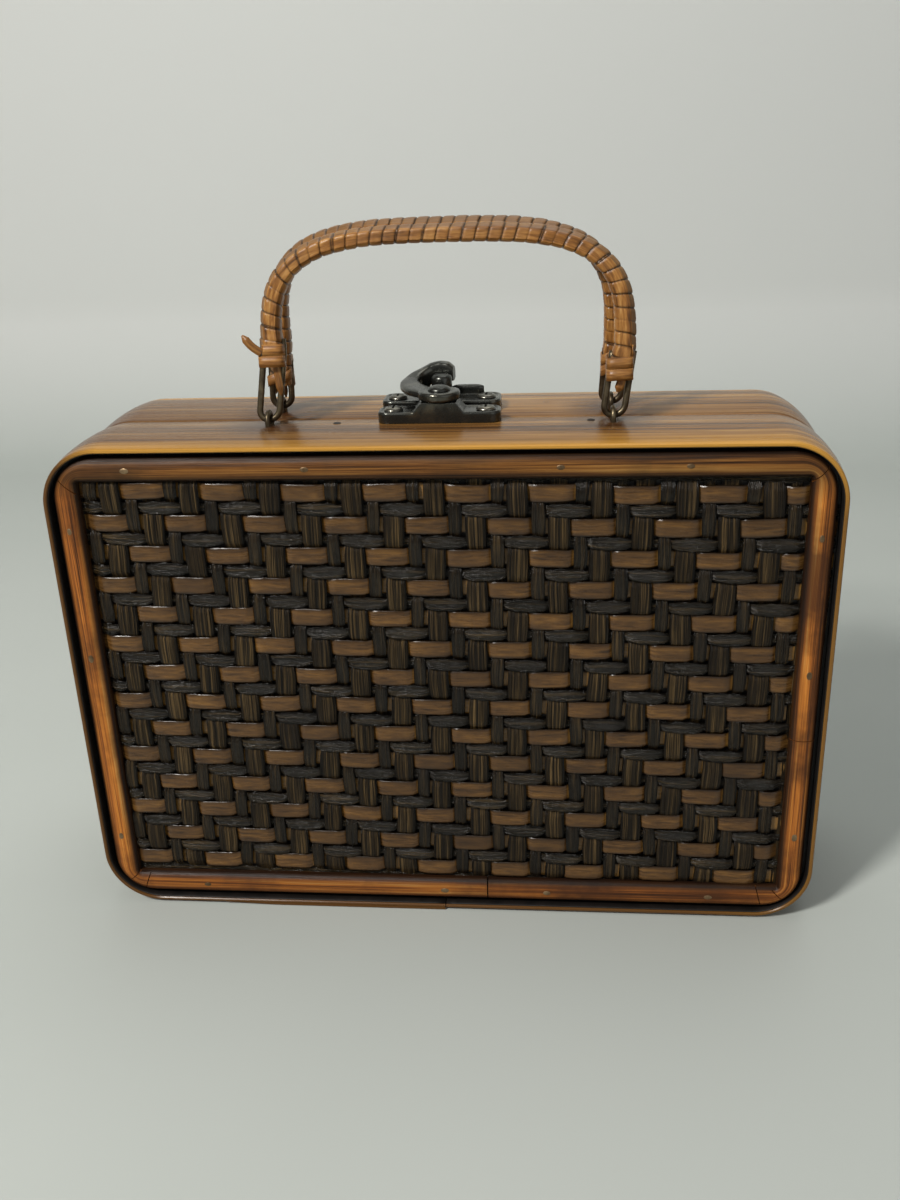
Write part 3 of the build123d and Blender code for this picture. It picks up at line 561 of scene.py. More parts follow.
def half_round_cane():
    """Split cane: dark streaks in orange brown, darker along the top run, with painted shade along both edges."""
    n = Nodes("half_round_cane")
    streak = n.noise(n.grain(7.0, 900.0), 1.0, 7.0, 0.7, 0.5)
    broad = n.noise(n.grain(9.0, 260.0), 1.0, 4.0, 0.6, 0.4)
    fine = n.noise(n.grain(40.0, 3800.0), 1.0, 3.0, 0.55)
    both = n.sum(n.sum(n.scaled(streak, 0.5), n.scaled(broad, 0.3)), n.scaled(fine, 0.2))
    bold = n.span(both, 0.39, 0.6, 0.0, 1.0)
    color = n.ramp(bold, ((0.0, srgb(36, 20, 10)), (0.25, srgb(96, 54, 22)), (0.5, srgb(158, 92, 36)),
                          (0.75, srgb(196, 124, 50)), (1.0, srgb(216, 160, 88))))
    patch = n.noise(n.space(), 30.0, 5.0, 0.62)
    color = n.mix(color, srgb(62, 36, 19), n.span(patch, 0.47, 0.66, 0.0, 0.8))
    upper = n.span(n.sum(n.place("Z"), n.scaled(broad, 0.01)), 0.15, 0.158, 0.0, 0.8)
    dull = n.ramp(bold, ((0.0, srgb(22, 14, 7)), (0.5, srgb(68, 45, 20)), (1.0, srgb(132, 94, 46))))
    color = n.mix(color, dull, upper)
    color = n.mix(color, srgb(70, 38, 16), n.span(n.place("Z"), 0.016, 0.01, 0.0, 0.4))
    # Painted shade along both edges, where the half-round meets the panel.
    color = n.mix(color, srgb(24, 14, 8), n.span(n.sum(n.tone(1), n.scaled(streak, 0.7)), 0.42, 1.0, 0.0, 0.94))
    roughness = n.span(n.sum(patch, n.scaled(fine, 0.5)), 0.4, 1.0, 0.3, 0.55)
    return n.finish(color, roughness, both, 0.8, 0.0004, Specular_IOR_Level=0.2)


def metal(name, base, glint, rough, grime_and_edge_shade):
    """Old metal with dark patina, bright rubbed patches and fine pitting."""
    n = Nodes(name)
    broad = n.noise(n.space(), 210.0, 6.0, 0.62)
    pits = n.noise(n.space(), 1900.0, 4.0, 0.6)
    color = n.ramp(broad, ((0.3, grime_and_edge_shade), (0.52, base), (0.74, glint)))
    roughness = n.span(n.sum(broad, n.scaled(pits, 0.4)), 0.35, 1.0, rough + 0.12, rough - 0.12)
    return n.finish(color, roughness, pits, 0.25, 0.0001, Metallic=0.92)


def plain_rough(name, dark, light, scale, rough):
    """A dull surface with soft mottling."""
    n = Nodes(name)
    fleck = n.noise(n.space(), scale, 5.0, 0.6)
    return n.finish(n.ramp(fleck, ((0.3, dark), (0.7, light))), n.span(fleck, 0, 1, rough - 0.08, rough + 0.08),
                    fleck, 0.3, 0.0002)


BAND = bent_bamboo()
MOULDING = half_round_cane()
RIBBON = grained("flat_ribbon", ((0.34, srgb(46, 29, 13)), (0.5, srgb(86, 59, 28)), (0.66, srgb(116, 82, 38))),
                 along=60.0, across=420.0, rough=0.24, tint=0.16, wear=srgb(56, 37, 17), strength=0.8,
                 grime_and_edge_shade=srgb(16, 10, 5), depth=0.0005, shine=0.4, tan=srgb(128, 94, 46))
ROUND = grained("round_strand", ((0.36, srgb(8, 6, 3)), (0.5, srgb(27, 21, 11)), (0.66, srgb(80, 63, 36))),
                along=34.0, across=900.0, rough=0.2, tint=0.3, wear=srgb(18, 14, 9), strength=1.0,
                grime_and_edge_shade=srgb(7, 5, 4), depth=0.0016, shine=0.34)
NARROW = grained("narrow_warp", ((0.36, srgb(9, 6, 4)), (0.5, srgb(30, 23, 13)), (0.66, srgb(74, 58, 34))),
                 along=30.0, across=1000.0, rough=0.22, tint=0.3, wear=srgb(20, 15, 10), strength=1.0,
                 grime_and_edge_shade=srgb(7, 5, 4), depth=0.0014, shine=0.28)
WIDE = grained("wide_warp", ((0.4, srgb(9, 6, 4)), (0.5, srgb(40, 31, 18)), (0.6, srgb(100, 80, 50))),
               along=16.0, across=1700.0, rough=0.36, tint=0.2, wear=srgb(26, 20, 14), strength=1.0,
               grime_and_edge_shade=srgb(8, 6, 5), depth=0.0014, shine=0.22)
WRAP = grained("wrapped_cane", ((0.34, srgb(70, 43, 17)), (0.47, srgb(132, 86, 38)), (0.56, srgb(162, 114, 57)),
                                (0.7, srgb(196, 154, 98))),
               along=60.0, across=500.0, rough=0.36, tint=0.1, wear=srgb(112, 78, 44), strength=0.5,
               grime_and_edge_shade=srgb(22, 13, 7), depth=0.0003, shine=0.4, tan=srgb(112, 86, 58))
BATTEN = plain_rough("batten_wood", srgb(112, 80, 48), srgb(160, 122, 78), 60.0, 0.6)
BLACK = plain_rough("dark_recess", srgb(10, 8, 7), srgb(26, 19, 15), 240.0, 0.55)
CLASP = metal("antique_clasp", srgb(76, 77, 73), srgb(106, 103, 92), 0.27, srgb(60, 61, 58))
SCREW = metal("screw_steel", srgb(108, 106, 98), srgb(142, 138, 124), 0.3, srgb(76, 74, 68))
WIRE = metal("dull_wire", srgb(98, 88, 70), srgb(140, 126, 98), 0.42, srgb(56, 44, 32))
HINGE = metal("hinge_brass", srgb(128, 104, 62), srgb(176, 146, 88), 0.4, srgb(66, 50, 30))
BRAD = metal("brad_steel", srgb(126, 104, 78), srgb(160, 138, 106), 0.5, srgb(84, 66, 46))


# Rims

def band_path():
    """Points, outward directions along a rim, from its joint below right round to the joint again."""
    straight_x = HALF_WIDTH - CORNER_RADIUS
    half_gap = BAND_JOINT_GAP / 2
    points = []
    normals = []

    def run(start, end, normal, steps):
        for share in np.linspace(0, 1, steps, endpoint=False):
            points.append(np.array(start) * (1 - share) + np.array(end) * share)
            normals.append(normal)

    def bend(centre, first):
        for angle in np.radians(np.linspace(first, first + 90, 18, endpoint=False)):
            normal = (math.cos(angle), math.sin(angle))
            points.append(np.array(centre) + CORNER_RADIUS * np.array(normal))
            normals.append(normal)

    low = CORNER_RADIUS
    high = HEIGHT - CORNER_RADIUS
    run((BAND_JOINT_X + half_gap, 0), (straight_x, 0), (0, -1), 30)
    bend((straight_x, low), -90)
    run((HALF_WIDTH, low), (HALF_WIDTH, high), (1, 0), 30)
    bend((straight_x, high), 0)
    run((straight_x, HEIGHT), (-straight_x, HEIGHT), (0, 1), 60)
    bend((-straight_x, high), 90)
    run((-HALF_WIDTH, high), (-HALF_WIDTH, low), (-1, 0), 30)
    bend((-straight_x, low), 180)
    run((-straight_x, 0), (BAND_JOINT_X - half_gap, 0), (0, -1), 30)
    points.append(np.array((BAND_JOINT_X - half_gap, 0)))
    normals.append((0, -1))
    return np.array(points), np.array(normals, float)


def band_section():
    """Depth from the seam and height above the outer face, round a rim's section."""
    middle = (HALF_DEPTH + SEAM_EDGE) / 2
    half = (HALF_DEPTH - SEAM_EDGE) / 2
    shares = np.linspace(-1, 1, 27)
    edge = half - BAND_EDGE_ROUND
    outer = [(middle + edge * s, -BAND_CROWN * abs(s) ** 2.2) for s in shares]
    inner_edge = -BAND_THICKNESS
    front = [(HALF_DEPTH, -BAND_CROWN - BAND_EDGE_ROUND), (HALF_DEPTH, inner_edge + BAND_EDGE_ROUND)]
    inner = [(middle + edge * s, inner_edge) for s in np.linspace(1, -1, 7)]
    rear = [(SEAM_EDGE, inner_edge + BAND_EDGE_ROUND), (SEAM_EDGE, -BAND_CROWN - BAND_EDGE_ROUND)]
    return outer + front + inner + rear


def rim(side, sign):
    """One bent rim with the pockets of its hinge leaves."""
    points, normals = band_path()
    section = band_section()
    rings = []
    for (x, z), (out_x, out_z) in zip(points, normals):
        rings.append([(x + out_x * out, sign * depth, z + out_z * out) for depth, out in section])
    skin = Skin()
    skin.add(rings)
    cutters = []
    for hand in ("left", "right"):
        low, high = [np.array(corner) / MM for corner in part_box(f"{hand}_hinge_{side}_leaf")]
        y_low, y_high = sorted((sign * HINGE_POCKET[0], -sign * HINGE_POCKET[1]))
        cutters.append(box_mesh((low[0] - HINGE_POCKET_GAP, y_low, -1.0),
                                (high[0] + HINGE_POCKET_GAP, y_high, HINGE_POCKET[2])))
    mesh = without(skin.mesh(side + "_rim"), cutters)
    piece(side + "_bent_rim", mesh, BAND, side + "_half", [side + "_rim_band"], True, 40)


# Woven panels

def crossing_wave(places, centres, widths, states):
    """Height of a strand along its run, up where it passes over and down where it passes under."""
    knots = np.concatenate([[c - w / 2 + CROSSING_EASE, c + w / 2 - CROSSING_EASE] for c, w in zip(centres, widths)])
    values = np.repeat(states, 2).astype(float)
    return np.sin(np.interp(places, knots, values) * math.pi / 2)


def strand_section(shape, widening, twist):
    """Offsets across and out of a strand's section, flat or round, with lengthwise ridges turned by the twist."""
    angles = ring_angles(shape.points)
    c = np.cos(angles)
    s = np.sin(angles)
    swell = 1 + shape.ridge * np.cos(shape.ridges * (angles - twist))
    width = shape.width * widening
    across = width / 2 * np.sign(c) * np.abs(c) ** shape.fullness * (1 + (swell - 1) * 0.3)
    out = shape.thickness / 2 * np.sign(s) * np.abs(s) ** shape.fullness * swell
    return np.stack([across, out], axis=1)


def tucked(places, others, half_run, half_side):
    """One well inside the window, falling to zero under the moulding."""
    inside = np.minimum(half_run - np.abs(places), half_side - np.abs(others))
    return smoothstep((inside + 0.4) / 3.4)


def woven(side, sign):
    """The strands of one panel, as one object for each kind."""
    reach_x, reach_z = WEAVE_REACH
    warps = []
    for j in WARP_PAIRS:
        start = WEAVE_SHIFT[0] + j * WARP_PAIR + WARP_GAP / 2
        warps.append((2 * j, start + NARROW_WARP / 2, NARROW_WARP))
        warps.append((2 * j + 1, start + NARROW_WARP + WARP_GAP + WIDE_WARP / 2, WIDE_WARP))
    top = WINDOW_Z + WEAVE_SHIFT[1]
    wefts = []
    for pair in WEFT_PAIRS:
        ribbon_low = top - pair * WEFT_PAIR - RIBBON_WEFT
        wefts.append((2 * pair, ribbon_low + RIBBON_WEFT / 2, RIBBON_WEFT))
        wefts.append((2 * pair + 1, ribbon_low - WEFT_GAP - ROUND_WEFT / 2, ROUND_WEFT))
    wefts.sort(key=lambda weft: weft[1])
    skins = {name: Skin() for name in ("ribbons", "rounds", "narrow", "wide")}

    def run_end(place, half_run, half_side):
        radius = CORNER_RADIUS - BAND_THICKNESS
        past = max(0.0, abs(place) - (half_side - radius))
        return half_run - radius + math.sqrt(max(radius ** 2 - past ** 2, 0.0)) - 0.6

    def lay(skin, runs, sideways, heights, lifts, sections, upright):
        rings = []
        for run, side_place, height, section in zip(runs, sideways, heights, sections):
            x = side_place + section[:, 0] if upright else np.full(len(section), run)
            z = np.full(len(section), run) if upright else side_place + section[:, 0]
            turned_x = x * math.cos(WEAVE_TILT) + z * math.sin(WEAVE_TILT)
            turned_z = -x * math.sin(WEAVE_TILT) + z * math.cos(WEAVE_TILT)
            depth = np.maximum(WEAVE_MIDDLE + height + section[:, 1], STRAND_FLOOR)
            rings.append(np.stack([turned_x, sign * depth, MIDDLE + turned_z], axis=1))
        first = sections[0]
        # The edge map puts painted shade towards the strand's edges.
        skin.add(rings, edge=np.abs(first[:, 0] / first[:, 0].max()) ** 3, lift=lifts[:, None])

    near = np.arange(-6, 7) * WEAVE_STEP
    kernel = np.exp(-(near / FLOAT_BOW_RUN) ** 2)
    kernel /= kernel.sum()

    def strand(kind, runs, middle, wave, inside, shape, upright):
        """Lay one strand along its runs."""
        count = len(runs)
        lens = np.clip(np.convolve(wave, kernel, mode="same"), 0, 1)
        swell = 1 - shape.taper + 1.25 * shape.taper * lens + wander(count, 0.05, 14)
        turn = runs * shape.twist + RANDOM.uniform(0, 6)
        sections = [strand_section(shape, w, t) for w, t in zip(swell, turn)]
        heights = (wave * WEAVE_WAVE + shape.bow * lens) * inside - 0.95 * (1 - inside) + wander(count, 0.08, 30)
        lay(skins[kind], runs, middle + wander(count, 0.35, 16), heights, wave, sections, upright)

    for row, z, width in wefts:
        if abs(z) > reach_z - width / 2:
            continue
        end = run_end(abs(z) + width / 2 + 1.5, reach_x, reach_z)
        runs = np.linspace(-end, end, int(2 * end / WEAVE_STEP))
        states = [1 if (k - row) % 4 in (0, 1) else -1 for k, _, _ in warps]
        wave = crossing_wave(runs, [c for _, c, _ in warps], [w for _, _, w in warps], states)
        inside = tucked(runs, z, WINDOW_X, WINDOW_Z)
        flat = row % 2 == 0
        strand("ribbons" if flat else "rounds", runs, z, wave, inside, RIBBON_SHAPE if flat else ROUND_SHAPE, False)
    for k, x, width in warps:
        if abs(x) > reach_x - width / 2:
            continue
        end = run_end(abs(x) + width / 2 + 1.5, reach_z, reach_x)
        runs = np.linspace(-end, end, int(2 * end / WEAVE_STEP))
        states = [-1 if (k - row) % 4 in (0, 1) else 1 for row, _, _ in wefts]
        wave = crossing_wave(runs, [c for _, c, _ in wefts], [w for _, _, w in wefts], states)
        inside = tucked(runs, x, WINDOW_Z, WINDOW_X)
        narrow = k % 2 == 0
        strand("narrow" if narrow else "wide", runs, x, wave, inside, NARROW_SHAPE if narrow else WIDE_SHAPE, True)
    looks = {"ribbons": RIBBON, "rounds": ROUND, "narrow": NARROW, "wide": WIDE}
    for name, skin in skins.items():
        mesh = skin.mesh(f"{side}_{name}")
        piece(f"{side}_weave_{name}", mesh, looks[name], side + "_half", [side + "_woven_panel"])


def lining(side, sign):
    """The dark sheet behind the weave, a plain lining whose near-black colour is painted shade for the inside seen
    through the gaps, and the dark inner face of the rim in front of it.
    """
    points, normals = band_path()
    inner = points - (BAND_THICKNESS + LINING_GAP) * normals
    sheet = Skin()
    centre = np.array((0.0, MIDDLE))
    hub = centre + (inner - centre) * 0.01
    rings = [np.stack([c[:, 0], np.full(len(c), sign * depth), c[:, 1]], axis=1)
             for c, depth in ((hub, LINING_NEAR), (inner, LINING_NEAR), (inner, LINING_FAR), (hub, LINING_FAR))]
    sheet.add(rings)
    # Near-black lining: painted shade for the inside of the case seen through the weave's gaps.
    piece(side + "_lining", sheet.mesh(side + "_lining"), BLACK, side + "_half",
          [side + "_woven_panel"], False)
    lip = Skin()
    rings = []
    for (x, z), (out_x, out_z) in zip(inner, normals):
        rings.append([(x + out_x * out, sign * depth, z + out_z * out)
                      for out, depth in ((0.02, LINING_FAR), (0.02, HALF_DEPTH - 0.5), (-0.15, HALF_DEPTH - 0.7),
                                     (-0.15, LINING_FAR))])
    lip.add(rings)
    piece(side + "_rim_lining", lip.mesh(side + "_lip"), BLACK, side + "_half")


def lap_strip():
    """The thin outer strip that ends below at the joint of the front rim."""
    skin = Skin()
    rings = []
    for x in np.linspace(LAP_START, BAND_JOINT_X - BAND_JOINT_GAP / 2, 40):
        share = smoothstep((x - LAP_START) / LAP_FADE)
        low = 0.95 - 0.75 * share
        rings.append([(x, -HALF_DEPTH - 0.02 + 0.4, 1.1), (x, -HALF_DEPTH + 0.02, 1.0),
                      (x, -HALF_DEPTH + 0.05, low + 0.1),
                      (x, -HALF_DEPTH + 0.3, low), (x, -HALF_DEPTH + LAP_WIDTH, low),
                      (x, -HALF_DEPTH + LAP_WIDTH, low + LAP_THICKNESS)])
    skin.add(rings)
    piece("front_lap_strip", skin.mesh("lap"), BAND, "front_half", (), True, 40)


# Mouldings

def moulding(side, sign):
    """A half-round strip with sharp inner and rounded outer corners, its joint and its saw cuts."""
    stations = []
    centre = MOULDING_WIDTH - MOULDING_CORNER

    def run(start, end, normal, steps):
        for share in np.linspace(0, 1, steps, endpoint=False):
            inner = np.array(start) * (1 - share) + np.array(end) * share
            stations.append((inner, inner + MOULDING_WIDTH * np.array(normal)))

    def corner(hand_x, hand_z, first):
        inner = np.array((hand_x * WINDOW_X, hand_z * WINDOW_Z))
        middle = inner + centre * np.array((hand_x, hand_z))
        for angle in np.radians(np.linspace(first, first + 90, 12)):
            stations.append((inner, middle + MOULDING_CORNER * np.array((math.cos(angle), math.sin(angle)))))

    end_x = WINDOW_X + centre
    end_z = WINDOW_Z + centre
    joint_left = MOULDING_JOINT_X - MOULDING_JOINT_HALF_GAP
    joint_right = MOULDING_JOINT_X + MOULDING_JOINT_HALF_GAP
    run((joint_right, -WINDOW_Z), (end_x, -WINDOW_Z), (0, -1), 40)
    corner(1, -1, -90)
    run((WINDOW_X, -end_z), (WINDOW_X, end_z), (1, 0), 50)
    corner(1, 1, 0)
    run((end_x, WINDOW_Z), (-end_x, WINDOW_Z), (0, 1), 80)
    corner(-1, 1, 90)
    run((-WINDOW_X, end_z), (-WINDOW_X, -end_z), (-1, 0), 50)
    corner(-1, -1, 180)
    run((-end_x, -WINDOW_Z), (joint_left, -WINDOW_Z), (0, -1), 40)
    stations.append((np.array((joint_left, -WINDOW_Z)), np.array((joint_left, -WINDOW_Z - MOULDING_WIDTH))))

    shares = (1 - np.cos(np.linspace(0, math.pi, 13))) / 2
    rises = MOULDING_EDGE + (MOULDING_HEIGHT - MOULDING_EDGE) * np.sqrt(1 - (2 * shares - 1) ** 2)
    dips = wander(len(stations), 0.2, 26)
    rings = []
    for (inner, outer), dip in zip(stations, dips):
        row = [(inner[0], sign * PANEL_FACE, MIDDLE + inner[1])]
        for share, rise in zip(shares, rises):
            x, z = inner * (1 - share) + outer * share
            row.append((x, sign * (PANEL_FACE + rise + dip * share * (1 - share)), MIDDLE + z))
        row.append((outer[0], sign * PANEL_FACE, MIDDLE + outer[1]))
        rings.append(row)
    skin = Skin()
    # The edge map puts painted shade along both edges of the half-round.
    skin.add(rings, edge=[1.0, *np.abs(2 * shares - 1) ** 2.4, 1.0])
    cuts = []
    face = sorted((sign * (PANEL_FACE + 1.3), sign * (PANEL_FACE + 6)))
    for x, z, turn in SAW_CUTS:
        cuts.append(box_mesh((x - SAW_CUT_HALF_WIDTH, face[0], z - SAW_CUT_REACH[0]),
                             (x + SAW_CUT_HALF_WIDTH, face[1], z + SAW_CUT_REACH[1]), math.radians(turn)))
    cuts.append(box_mesh((WINDOW_X - 1.0, face[0], CRACK[0]), (OUTER_X + 1.0, face[1], CRACK[1])))
    mesh = without(skin.mesh(side + "_moulding"), cuts)
    piece(side + "_half_round", mesh, MOULDING, side + "_half", [side + "_moulding"], True, 50)


def lathe(profile, place, sides=36):
    """Rings of a turned piece about an upright line."""
    angles = ring_angles(sides)
    x, y, z = place
    return [np.stack([x + max(radius, 0.01) * np.cos(angles), y + max(radius, 0.01) * np.sin(angles),
                      np.full(sides, z + up)], axis=1) for radius, up in profile]


def brads(side, sign):
    """Oval nail heads along the moulding and sunk nail heads in the top of the rim."""
    skin = Skin()
    line_x = WINDOW_X + MOULDING_WIDTH / 2
    line_z = WINDOW_Z + MOULDING_WIDTH / 2
    places = [(x, line_z) for x in BRADS_ABOVE] + [(x, -line_z) for x in BRADS_BELOW]
    places += [(-line_x, z) for z in BRADS_LEFT] + [(line_x, z) for z in BRADS_RIGHT]
    angles = ring_angles(16)
    for x, z in places:
        long = np.array(BRAD_HALF_SIZE if abs(z) == line_z else BRAD_HALF_SIZE[::-1]) * RANDOM.uniform(0.85, 1.1)
        rings = []
        for size, out in BRAD_PROFILE:
            depth = np.full(16, sign * (PANEL_FACE + MOULDING_HEIGHT + out))
            rings.append(np.stack([x + size * long[0] * np.cos(angles), depth,
                                   MIDDLE + z + size * long[1] * np.sin(angles)], axis=1))
        skin.add(rings)
    piece(side + "_brads", skin.mesh(side + "_brads"), BRAD, side + "_half", (), True, 40)
    holes = Skin()
    for x, y in NAILS[side]:
        holes.add(lathe(NAIL_PROFILE, (x, sign * y, HEIGHT), 18))
    piece(side + "_sunk_nails", holes.mesh(side + "_nails"), BLACK, side + "_half", (), True, 40)


# Handles

def arch_shift(side, up):
    """How far a handle stands to the right of its staples at a height."""
    top, _, shift = ARCHES[side]
    return shift * np.clip(up / (top - ARCH_RISE), 0, 1)


def handle_line(side):
    """Middle line of a handle in its own upright plane, from the left foot to the right."""
    top, half_span, _ = ARCHES[side]
    angles = np.radians(np.linspace(180, 0, 361))
    c = np.cos(angles)
    s = np.maximum(np.sin(angles), 0)
    across = half_span * np.sign(c) * np.abs(c) ** (2 / ARCH_POWER)
    up = top - ARCH_RISE + ARCH_RISE * s ** (2 / ARCH_POWER)
    arch = np.stack([across + arch_shift(side, up), up], axis=1)
    ends = [np.array([[way * STAPLE_X + arch_shift(side, foot), foot]]) for way, foot in zip((-1, 1), FEET[side])]
    line = np.vstack([ends[0], arch, ends[1]])
    lengths = lengths_along(line)
    places = np.linspace(0, lengths[-1], 900)
    return np.stack([np.interp(places, lengths, line[:, axis]) for axis in (0, 1)], axis=1), places


def leaned(points, sign):
    """Points of a handle from its own plane to the leaning place on its half."""
    points = np.asarray(points, float)
    x, out, up = points[..., 0], points[..., 1], points[..., 2]
    y = out * math.cos(HANDLE_LEAN) - up * math.sin(HANDLE_LEAN)
    z = out * math.sin(HANDLE_LEAN) + up * math.cos(HANDLE_LEAN)
    return np.stack([x, sign * (STAPLE_SET + y), PIVOT_Z + z], axis=-1)


def wrapped(side, sign):
    """The strip wound round a handle, turn against turn."""
    line, places = handle_line(side)
    tangents = directions(line)
    normals = np.stack([-tangents[:, 1], tangents[:, 0]], axis=1)
    total = places[-1]
    angles = ring_angles(36)
    turn_jitter = RANDOM.uniform(-0.09, 0.09, 80)
    turn_rise = RANDOM.uniform(-0.05, 0.07, 80)
    half = WRAP_HALF_DEPTH
    corners = np.array([(1, 0), (1, 0.3 * half), (0.42, half), (-0.72, half), (-1, 0.5 * half),
                        (-1, -0.5 * half), (-0.72, -half), (0.42, -half), (1, -0.3 * half), (1, 0)])
    runs = lengths_along(corners * (LEG_RADIAL, 1))
    base_out, base_deep = [np.interp(angles / (2 * math.pi) * runs[-1], runs, corners[:, axis]) for axis in (0, 1)]
    rings = []
    grime_and_edge_shade = []
    for (x, up), (normal_x, normal_z), place in zip(line, normals, places):
        share = min(1.0, max(0.0, up / ARCHES[side][0])) ** 2
        radial = LEG_RADIAL + (TOP_RADIAL - LEG_RADIAL) * share
        phase = place / WRAP_PITCH - sign * angles / (2 * math.pi) + 2
        phase = phase + turn_jitter[np.floor(phase).astype(int)] * np.sin(angles)
        within = phase - np.floor(phase)
        crown = 1 - np.abs(2 * within - 1) ** 6
        swell = -0.4 * (1 - crown) + 0.12 * within + turn_rise[np.floor(phase).astype(int)]
        near_foot = min(place, total - place)
        swell = swell + 0.25 * smoothstep((9.0 - near_foot) / 2.5)
        out = base_out * (radial + swell)
        deep = base_deep * (1 + swell / half)
        rings.append(np.stack([x + normal_x * out, deep, up + normal_z * out], axis=1))
        # Painted shade in the groove between turns.
        grime_and_edge_shade.append(1 - crown)
    skin = Skin()
    skin.add(leaned(rings, sign), edge=grime_and_edge_shade, lift=np.where(base_out > 0.5, -0.62, 1.0))
    piece(side + "_wound_strip", skin.mesh(side + "_wrap"), WRAP, side + "_handle",
          [side + "_handle_wrap", side + "_handle_core"], True, 38)


def flat_strip(points, width, thickness, sign):
    """A thin loose strip along a line in a handle's plane, narrowing to its end."""
    line = curve_through(points, 26)
    tangents = directions(line)
    rings = []
    for index, (point, tangent) in enumerate(zip(line, tangents)):
        face = np.array((0.0, 1.0, 0.0))
        face = face - tangent * face.dot(tangent)
        face /= np.linalg.norm(face)
        sideways = np.cross(tangent, face)
        size = width / 2
        if index > 20:
            size *= 1 - 0.75 * (index - 20) / 5
        corners = ((-size, -thickness / 2), (size, -thickness / 2), (size, thickness / 2), (-size, thickness / 2))
        rings.append([point + a * sideways + b * face for a, b in corners])
    return leaned(rings, sign)


def binding(x, up, radial, turns, tilt, sign):
    """A few turns of strip bound round the foot of a handle."""
    points = []
    for angle in np.linspace(0, 2 * math.pi * turns, int(40 * turns)):
        c = math.cos(angle)
        s = math.sin(angle)
        points.append((x + radial * math.copysign(abs(c) ** 0.5, c),
                       (WRAP_HALF_DEPTH + 0.5) * math.copysign(abs(s) ** 0.5, s),
                       up + tilt * c + 3.4 * angle / (2 * math.pi)))
    rings = []
    for point in points:
        out = np.array((point[0] - x, point[1], 0.0))
        out /= np.linalg.norm(out)
        corners = ((-1.7, -0.2), (1.7, -0.2), (1.7, 0.2), (-1.7, 0.2))
        rings.append([np.array(point) + np.array((0, 0, a)) + b * out for a, b in corners])
    return leaned(rings, sign)


def loose_ends(side, sign):
    """Bindings and loose strip ends at the feet of a handle."""
    left, right = FEET[side]
    left_x = -STAPLE_X + arch_shift(side, left)
    right_x = STAPLE_X + arch_shift(side, right)
    skin = Skin()
    skin.add(binding(left_x, left - 0.4, 3.9, 1.3, 0.7, sign))
    skin.add(binding(right_x, right - 0.6, 3.9, 2.1, 0.8, sign))
    feet = {"left": (left_x, left), "right": (right_x, right)}
    for hand, points, width, thickness in LOOSE_STRIPS[side]:
        foot_x, foot = feet[hand]
        skin.add(flat_strip([(foot_x + x, y, foot + z) for x, y, z in points], width, thickness, sign))
    piece(side + "_strip_ends", skin.mesh(side + "_ends"), WRAP, side + "_handle")


def loops(side, sign):
    """The wire loop at each foot of a handle."""
    for hand, way, foot in (("left", -1, FEET[side][0]), ("right", 1, FEET[side][1])):
        half = LOOP_HALF_WIDTH
        bend = [(way * STAPLE_X + half * math.cos(a), 0, half + half * math.sin(a))
                for a in np.linspace(math.pi, 2 * math.pi, 28)]
        head = foot + LOOP_EMBED
        left_leg = [(way * STAPLE_X - half, 0, up) for up in np.linspace(head, half, 10, endpoint=False)]
        right_leg = [(way * STAPLE_X + half, 0, up) for up in np.linspace(half, head, 11)[1:]]
        line = np.array(left_leg + bend + right_leg)
        line[:, 0] += arch_shift(side, line[:, 2])
        skin = Skin()
        skin.add(leaned(tube_rings(line, LOOP_WIRE / 2), sign))
        piece(f"{side}_{hand}_wire_loop", skin.mesh("loop"), WIRE, side + "_handle",
              [f"{side}_handle_{hand}_loop"])


def staples(side, sign):
    """The two wire staples of one half."""
    half = (STAPLE_GAP + STAPLE_WIRE) / 2
    crown = HEIGHT + STAPLE_RISE + STAPLE_WIRE / 2
    skin = Skin()
    for x in (-STAPLE_X, STAPLE_X):
        arc = [(x, sign * (STAPLE_SET + half * math.cos(a)), crown - half + half * math.sin(a))
               for a in np.linspace(math.pi, 0, 26)]
        foot = HEIGHT - STAPLE_DEPTH
        start = [(x, sign * (STAPLE_SET - half), z) for z in np.linspace(foot, crown - half, 6, endpoint=False)]
        end = [(x, sign * (STAPLE_SET + half), z) for z in np.linspace(crown - half, foot, 7)[1:]]
        skin.add(tube_rings(start + arc + end, STAPLE_WIRE / 2))
    piece(side + "_wire_staples", skin.mesh("staples"), WIRE, side + "_half", [side + "_staples"])


# Clasp

def cast(skin, name, body, node, voxel=0.2, turns=6):
    """Closed shapes melted into one casting with soft edges."""
    mesh = skin.mesh(name)
    outward(mesh)

    def set_up(helper):
        remesh = helper.modifiers.new("remesh", "REMESH")
        remesh.mode = "VOXEL"
        remesh.voxel_size = voxel * MM
        soft = helper.modifiers.new("soft", "SMOOTH")
        soft.factor = 0.5
        soft.iterations = turns
        thin = helper.modifiers.new("thin", "DECIMATE")
        thin.ratio = 0.35
        return []

    piece(name, applied(mesh, set_up), CLASP, body, [node])


def rounded_outline(half_x, half_y, radius):
    """Points of a rectangle with round corners, about its middle."""
    points = []
    for turn, (side_x, side_y) in enumerate(((1, 1), (-1, 1), (-1, -1), (1, -1))):
        for angle in np.radians(np.linspace(90 * turn, 90 * turn + 90, 9)):
            points.append((side_x * (half_x - radius) + radius * math.cos(angle),
                           side_y * (half_y - radius) + radius * math.sin(angle)))
    return np.array(points)


def plate_rings(middle, half_x, half_y, levels):
    """Rings of a plate with round corners, from pairs of inset and height."""
    rings = []
    for inset, height in levels:
        outline = rounded_outline(half_x - inset, half_y - inset, max(PLATE_CORNER - inset, 0.2)) + middle
        rings.append(np.column_stack([outline, np.full(len(outline), HEIGHT + height)]))
    return rings


